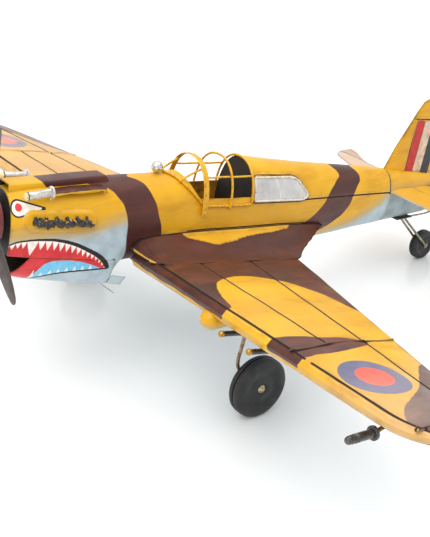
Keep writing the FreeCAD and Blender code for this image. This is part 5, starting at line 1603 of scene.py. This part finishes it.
# -------------------------------------------------------------------- tail
def stab_grid(sgn, sweep):
    xs = np.concatenate([np.arange(3.0, 62, 1.6), 62 + 18 * np.sin(np.linspace(0, math.pi / 2, 22))])
    X = xs
    z = 9.4 - 0.10 * (sgn * X - 13.8)
    y0 = 372.0 + sweep * (X - 13.8)
    y1 = 452.0 - 0.10 * (X - 13.8)
    k = np.where(X > 62, np.sqrt(np.clip(1 - ((X - 62) / 18.3) ** 2.2, 0, 1)), 1.0)
    c = lerp(y0, y1, 0.55)
    a, b = c + (y0 - c) * k, c + (y1 - c) * k
    tt = 1.5 * (0.35 + 0.65 * k)
    v = np.concatenate([np.linspace(0, 1, 34) ** 1.3])
    span = np.maximum(b - a, 1e-3)
    hinges = np.full(len(X), 0.40) if sgn > 0 else np.clip((410.8 - 0.165 * X - a) / span, 0.04, 0.96)
    hinge = 0.40
    dc, dsn = (1.0, 0.0) if sgn > 0 else (math.cos(0.30), math.sin(0.30))
    P = []
    for up in (1, -1):
        rows = []
        for i in range(len(X)):
            row = []
            for s in (v if up == 1 else v[::-1]):
                prof = math.sin(min(1.0, s / 0.3) * math.pi / 2) ** 0.7
                thick = tt[i] * prof * (1 - 0.62 * max(0, (s - 0.3) / 0.7))
                g = 0.5 * math.exp(-(((s - hinges[i]) * (b[i] - a[i]) / 0.55) ** 2)) if up == 1 else 0
                over = max(0.0, (s - hinges[i]) * (b[i] - a[i]))
                row.append((sgn * X[i], lerp(a[i], b[i], s) - over * (1 - dc), z[i] + up * (0.12 + thick) - up * g - over * dsn))
            rows.append(row)
        P.append(np.array(rows))
    G = np.concatenate([P[0], P[1]], 1)
    return G, (hinge,)


def stab_attr(sgn, sweep):
    def ab(x):
        X = np.abs(x)
        y0 = 372.0 + sweep * (X - 13.8)
        y1 = 452.0 - 0.10 * (X - 13.8)
        k = np.where(X > 62, np.sqrt(np.clip(1 - ((X - 62) / 18.3) ** 2.2, 0, 1)), 1.0)
        c = lerp(y0, y1, 0.55)
        return c + (y0 - c) * k, c + (y1 - c) * k

    def ln(x, y, z):
        a, b = ab(x)
        d = np.abs(y - lerp(a, b, 0.40))
        zc = 9.4 - 0.10 * (x - 13.8)
        if sgn < 0:
            return np.where(z >= zc - 0.4, np.maximum(np.abs(y - (410.8 - 0.165 * np.abs(x))) - 0.3, 0), 9.0)
        return np.where(z >= zc - 0.1, d, 9.0)

    def blue(x, y, z):
        zc = 9.4 - 0.10 * (x - 13.8)
        a, b = ab(x)
        if sgn < 0:
            return np.full(np.shape(y), -40.0)
        return np.where(z < zc, 9.0, 4.5 - (y - a) * 2.2)

    def brown_(x, y, z):
        if sgn > 0:
            return np.full(np.shape(y), -20.0)
        zc = 9.4 - 0.10 * (x - 13.8)
        return np.maximum(2.4 - (y - ab(x)[0]), np.where((z < zc) & (y < 409), 5.0, -5.0)) + 0.2 * wob(x, y, z, 6, 99)

    # painted sheen strong on the starboard tailplane, faint on the port one
    return {"painted_sheen": lambda x, y, z: np.full(np.shape(y), 0.08 if sgn > 0 else 0.95), "ln": ln, "blue": blue, "sd_brown": brown_, "ed": lambda x, y, z: np.minimum(np.abs(y - ab(x)[1]), np.abs(y - ab(x)[0]))}


M_STAB = paint("tailplane_paint", belly=True, painted_sheen=True)
for side, sgn, sweep in (("port", 1, 0.18), ("starboard", -1, 0.28)):
    G, _ = stab_grid(sgn, sweep)
    V, F = grid(G, wrap_v=True, flip=(sgn < 0))
    # notch for the rudder
    C = V.copy()
    F = [q for q in F if not (C[list(q), 1].mean() > 425 and abs(C[list(q), 0]).mean() < 7.4)]
    make("tailplane_" + side, (V, F), M_STAB, "stabiliser_" + side, attrs=stab_attr(sgn, sweep), angle=45)

FIN = [(372.4, 24.0), (380.6, 42.0), (384.0, 48.0), (395.3, 67.5), (398.6, 73.4), (404.2, 81.4), (409.4, 83.9), (418.0, 85.4), (430.0, 85.0), (446.0, 82.0), (462.0, 72.0), (474.0, 54.0), (480.0, 34.0), (481.0, 14.0), (476.0, -2.0), (464.0, -11.0), (450.0, -12.6), (434.0, -12.6), (434.0, 8.0), (434.0, 17.0), (410.0, 19.5), (380.0, 21.0)]
fin_out = np.array(FIN)


def fin_part():
    """Flat sandwich cut to the outline, swelling slightly in the middle."""
    out = resample(np.c_[closed_poly(fin_out), np.zeros(len(fin_out) + 1)], 1.4)[:, :2]
    ystep = 1.3
    gy = np.arange(372, 482.5, ystep)
    gz = np.arange(-13.5, 86.5, ystep)
    Y, Z = np.meshgrid(gy, gz, indexing="ij")
    sd = poly_sd(Y, Z, fin_out)
    # pull grid points near the outline onto it
    P = np.stack([Y, Z], -1)
    e = 0.05
    gx = (poly_sd(Y + e, Z, fin_out) - poly_sd(Y - e, Z, fin_out)) / (2 * e)
    gz_ = (poly_sd(Y, Z + e, fin_out) - poly_sd(Y, Z - e, fin_out)) / (2 * e)
    near = np.abs(sd) < ystep * 0.72
    P[..., 0] = np.where(near, Y - gx * sd, Y)
    P[..., 1] = np.where(near, Z - gz_ * sd, Z)
    inside = (sd > 0) | near
    sd2 = np.maximum(poly_sd(P[..., 0], P[..., 1], fin_out), 0)
    half = 0.55 + 0.8 * (1 - np.exp(-sd2 / 2.2))
    # rudder gap
    gap = np.exp(-(((P[..., 0] - rud_y(P[..., 1])) / 0.6) ** 2))
    half = half - 0.55 * gap
    # raised fillet line across the fin
    rb = np.exp(-(((P[..., 1] - (68.9 - 0.02 * (P[..., 0] - 395))) / 0.55) ** 2)) * (P[..., 0] < 470)
    half = half + 0.25 * rb
    nu, nv = Y.shape
    idx = np.arange(nu * nv).reshape(nu, nv)
    F = []
    ins = inside.reshape(-1)
    for q in grid_faces(nu, nv):
        k = [i for i in q if ins[i]]
        if len(k) == 4:
            F.append(tuple(k))
        elif len(k) == 3:
            F.append(tuple(k))
    A = np.stack([half, P[..., 0], P[..., 1]], -1).reshape(-1, 3)
    Bm = A.copy()
    Bm[:, 0] *= -1
    used = sorted(set(i for q in F for i in q))
    mp = {i: k for k, i in enumerate(used)}
    Fa = [tuple(mp[i] for i in q) for q in F]
    n = len(used)
    from collections import Counter

    ed = Counter()
    orient = {}
    for q in Fa:
        for a, b in zip(q, q[1:] + q[:1]):
            ed[(min(a, b), max(a, b))] += 1
            orient[(min(a, b), max(a, b))] = (a, b)
    walls = [(orient[e][1], orient[e][0], orient[e][0] + n, orient[e][1] + n) for e, c in ed.items() if c == 1]
    V = np.concatenate([A[used], Bm[used]])
    Fb = [tuple(i + n for i in reversed(q)) for q in Fa]
    return V, Fa + Fb + walls


def closed_poly(p):
    return np.concatenate([p, p[:1]])


def rud_y(z):
    return 432.0 + 0.0 * z + np.where(z > 0, 0.015 * (z - 10), 0)


def fin_ln(x, y, z):
    d = np.abs(y - rud_y(z))
    top_l = np.abs(z - (67.6 - 0.02 * (y - 395))) + np.where(y < 470, 0.0, 9)
    # slanting line just behind the leading edge
    lead = np.abs(y - 397.4 - 0.03 * (z - 20)) + np.where((z < 67.5) & (z > 21), 0.1, 9)
    base = np.abs(z - 22.6) + np.where(y < 432, 0.2, 9)
    return np.minimum(np.minimum(d, top_l), np.minimum(lead, base))


def flash(m, col):
    j = m.math("MULTIPLY", m.math("SUBTRACT", m.noise(330, 4, 0.65), 0.5), 0.5)
    nb = m.noise(180, 5, 0.7)
    cols = [
        (m.mix(m.remap(nb, 0.35, 0.7), lin(200, 44, 40), lin(174, 30, 30)), "st1"),
        (m.mix(m.remap(nb, 0.35, 0.65), lin(226, 206, 186), lin(190, 168, 146)), "st2"),
        (m.mix(m.remap(nb, 0.35, 0.7), lin(44, 50, 62), lin(30, 34, 42)), "st3"),
    ]
    for c, a in cols:
        s = m.math("ADD", m.attr(a), j)
        col = m.mix(m.math("MULTIPLY", m.remap(m.math("ABSOLUTE", m.math("SUBTRACT", s, -0.15)), 0.5, 0.2), 0.6), col, lin(90, 60, 30))
        col = m.mix(m.remap(s, -0.1, 0.1), col, c)
    return col


def stripe_sd(k):
    """Slanting bar with rounded ends, k is the order aft."""
    def f(x, y, z):
        w = 4.8
        # centre line from foot to head
        p0 = np.array((402.4 + k * 9.9, 21.5))
        p1 = np.array((404.0 + k * 9.9, 61.4))
        d = p1 - p0
        L2 = d @ d
        t = np.clip(((y - p0[0]) * d[0] + (z - p0[1]) * d[1]) / L2, 0, 1)
        dx, dz = np.abs(y - p0[0] - t * d[0]), np.abs(z - p0[1] - t * d[1])
        q = (np.maximum(dx, 0) ** 3 + np.maximum(dz, 0) ** 3) ** (1 / 3)
        return w - q
    return f


FN_ATTR = {"ln": fin_ln, "ed": lambda x, y, z: np.maximum(poly_sd(y, z, fin_out), 0), "sd_brown": lambda x, y, z: np.full(np.shape(y), -20.0), "blue": lambda x, y, z: np.full(np.shape(y), -40.0), "st1": stripe_sd(0), "st2": stripe_sd(1), "st3": stripe_sd(2)}
M_FIN = paint("fin_paint", brown=False, extra=flash)
make("fin_sheet", fin_part(), M_FIN, "fin", attrs=FN_ATTR, angle=40)

# tail wheel
TWY, TWZ = 445.8, -45.25664632969126
tw = wheel_part(13.1, 7.0, 2.3, 2.0)
make("tail_tyre", lathe(tw, (0, TWY, TWZ), (1, 0, 0), 80), M_RUBBER, "tail_wheel", body="wheel_tail", angle=34)
fork = []
for sg in (1, -1):
    fork.append(tube(smooth_path([(sg * 3.0, 410.2, -17.6), (sg * 3.2, 411.4, -18.8), (sg * 4.6, TWY - 1.0, TWZ + 0.8), (sg * 4.6, TWY, TWZ)], 1.1, 1), 1.05, 10))
    fork.append(lathe([(-0.7, 0.4), (-0.65, 2.0), (0.6, 2.05), (0.75, 1.6), (0.8, 0.2)], (sg * 4.7, TWY, TWZ), (sg, 0, 0), 20, 0.12, 51))
fork.append(tube([(-5.4, TWY, TWZ), (0, TWY, TWZ), (5.4, TWY, TWZ)], 0.9, 10))
fork.append(tube([(-3.1, 410.6, -18.1), (0, 410.6, -18.1), (3.1, 410.6, -18.1)], 0.75, 8))
make("tail_fork_wires", merge(*fork), M_STEEL, "tail_fork", angle=50)
make("tail_stay_wire", tube(np.array([(0, 416.0, -18.1), (0, 430, -17.2), (0, 440.0, -16.2), (0, 452.0, -13.6)]), 0.8, 8), M_STEEL, "tail_stay", angle=60)

# --------------------------------------------------------------- propeller
def blade_part(phase):
    rs = [4.0, 9.0, 14.0, 19.0, 24.0, 30.0, 36.0, 42.0, 48.0, 52.0, 55.0, 57.2, 58.4]
    c = pchip([4, 14, 24, 36, 48, 55, 58.6], [5.0, 6.4, 8.9, 9.9, 8.6, 6.0, 1.6])
    tw_ = pchip([4, 14, 24, 36, 48, 58.6], [-36, -28, -20, -14, -10, -7])
    tk = pchip([4, 14, 24, 36, 48, 58.6], [3.0, 2.3, 1.8, 1.5, 1.25, 0.7])
    P = []
    rr = np.concatenate([np.linspace(4, 50, 34), 50 + 8.5 * np.sin(np.linspace(0, math.pi / 2, 14))[1:]])
    for r in rr:
        a = math.radians(float(tw_(r)))
        cc, k = float(c(min(r, 58.6))), float(tk(r))
        if r > 53:
            cc = 6.9 * math.sqrt(max(0.012, 1 - ((r - 53) / 5.6) ** 2))
        row = []
        for t in np.linspace(0, 2 * math.pi, 20, endpoint=False):
            u = -0.5 * math.cos(t) * (1 - 0.0)
            v = math.sin(t) * (0.5 if math.sin(t) > 0 else 0.3) * (1 - 0.35 * math.cos(t) * -1)
            lx, ly = cc * u, k * v
            x = lx * math.cos(a) - ly * math.sin(a)
            y = lx * math.sin(a) + ly * math.cos(a)
            row.append((x, 29.6 + y, r))
        P.append(row)
    P = np.array(P)
    V, F = grid(P, wrap_v=True, flip=True)
    n = 20
    F.append(tuple(range(n)))
    F.append(tuple(reversed(range((len(P) - 1) * n, len(P) * n))))
    ph = math.radians(phase)
    x, z = V[:, 0].copy(), V[:, 2].copy()
    V[:, 0] = x * math.cos(ph) + z * math.sin(ph)
    V[:, 2] = -x * math.sin(ph) + z * math.cos(ph)
    return V, F


hub_ = lathe([(26.3, 1.45), (26.32, 6.6), (26.6, 7.0), (32.8, 7.0), (33.1, 6.7), (33.15, 1.45)], (0, 0, 0), (0, 1, 0), 30)
make("airscrew", merge(hub_, *[blade_part(7.4 + 120 * k) for k in range(3)]), M_PROP, "propeller", body="propeller_unit", angle=50)
sp = [(33.0 * u, 16.2 * max(0.0, (1 - (1 - u) ** 1.9)) ** 0.56 + 1e-3) for u in (np.linspace(0, 1, 40) ** 1.6)]
sp += [(33.15, 16.0), (33.1, 15.3), (31.0, 15.0), (27.0, 14.7), (26.6, 14.2), (26.6, 1.6)]
SP_V, SP_F = lathe(sp, (0, 0, 0), (0, 1, 0), 90, 0.0)
# slots where the blades come through
cut = []
for k in range(3):
    ph = math.radians(7.4 + 120 * k)
    cut.append(np.array([math.sin(ph), 0, math.cos(ph)]))


def in_slot(p):
    for c in cut:
        t = p @ c
        if t > 2:
            w = p - np.array([0, 29.6, 0]) - c * t
            if w @ w < 3.7**2:
                return True
    return False


SP_F = [q for q in SP_F if not in_slot(SP_V[list(q)].mean(0))]
make("spinner_cone", (SP_V, SP_F), M_SPIN, "spinner", body="propeller_unit", angle=40)

# ----------------------------------------- CAD nodes that keep their shape
keep = {
    "nose_plate": M_BLACKIN, "shaft_bush": M_STEEL, "cockpit_floor": M_INNER, "gunsight_bead": M_SILVER,
    "wing_spar": M_BLUE, "tail_base_plate": M_DARKPLATE, "propeller_shaft": M_STEEL, "shaft_nut": M_STEEL,
}
for n, mat in keep.items():
    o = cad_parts[n]
    o.data.materials.clear()
    o.data.materials.append(mat)

# ------------------------------------------------------- floor, light, camera
me = bpy.data.meshes.new("ground")
S = 6.0
me.from_pydata([(-S, -S, 0), (S, -S, 0), (S, S, 0), (-S, S, 0)], [], [(0, 1, 2, 3)])
ground = bpy.data.objects.new("ground", me)
bpy.context.scene.collection.objects.link(ground)
gm = Mat("pale_floor")
gn = gm.noise(3, 2, 0.5)
me.materials.append(gm.finish(color=gm.mix(gn, (0.93, 0.94, 0.935, 1), (0.95, 0.955, 0.95, 1)), rough=gm.remap(gn, 0.3, 0.7, 0.13, 0.19)))

bpy.context.scene.view_settings.view_transform = "Standard"
world = bpy.data.worlds.new("studio")
bpy.context.scene.world = world
world.use_nodes = True
bg = world.node_tree.nodes["Background"]
bg.inputs[0].default_value = (1.0, 1.0, 1.0, 1)
bg.inputs[1].default_value = 0.95


def area(name, loc, target, size, power, color=(1, 1, 1)):
    l = bpy.data.lights.new(name, "AREA")
    l.shape = "RECTANGLE"
    l.size, l.size_y = size
    l.energy = power
    l.color = color
    o = bpy.data.objects.new(name, l)
    bpy.context.scene.collection.objects.link(o)
    o.location = loc
    o.rotation_mode = "QUATERNION"
    o.rotation_quaternion = (Vector(target) - Vector(loc)).to_track_quat("-Z", "Y")
    return o


area("key", (0.5, -0.9, 1.6), (0, 0, 0.08), (1.2, 1.2), 15)
area("top", (-0.2, 0.3, 1.7), (0, 0, 0.05), (1.8, 1.8), 11)

cam = bpy.data.cameras.new("camera")
cam.sensor_fit = "AUTO"
cam.sensor_width = 36.0
cam.lens = 36.0 * 920.46 / 537.0
cam.shift_x = 0.03872
cam.shift_y = -0.03484
cam.clip_start, cam.clip_end = 0.01, 50
co = bpy.data.objects.new("camera", cam)
bpy.context.scene.collection.objects.link(co)
cr, cu, cb = Vector((0.57793, 0.81605, 0.0075)), Vector((-0.35605, 0.24386, 0.90208)), Vector((0.73431, -0.52402, 0.43149))
co.matrix_world = Matrix(((cr.x, cu.x, cb.x, 0.48448), (cr.y, cu.y, cb.y, -0.40226), (cr.z, cu.z, cb.z, 0.35864), (0, 0, 0, 1)))
bpy.context.scene.camera = co
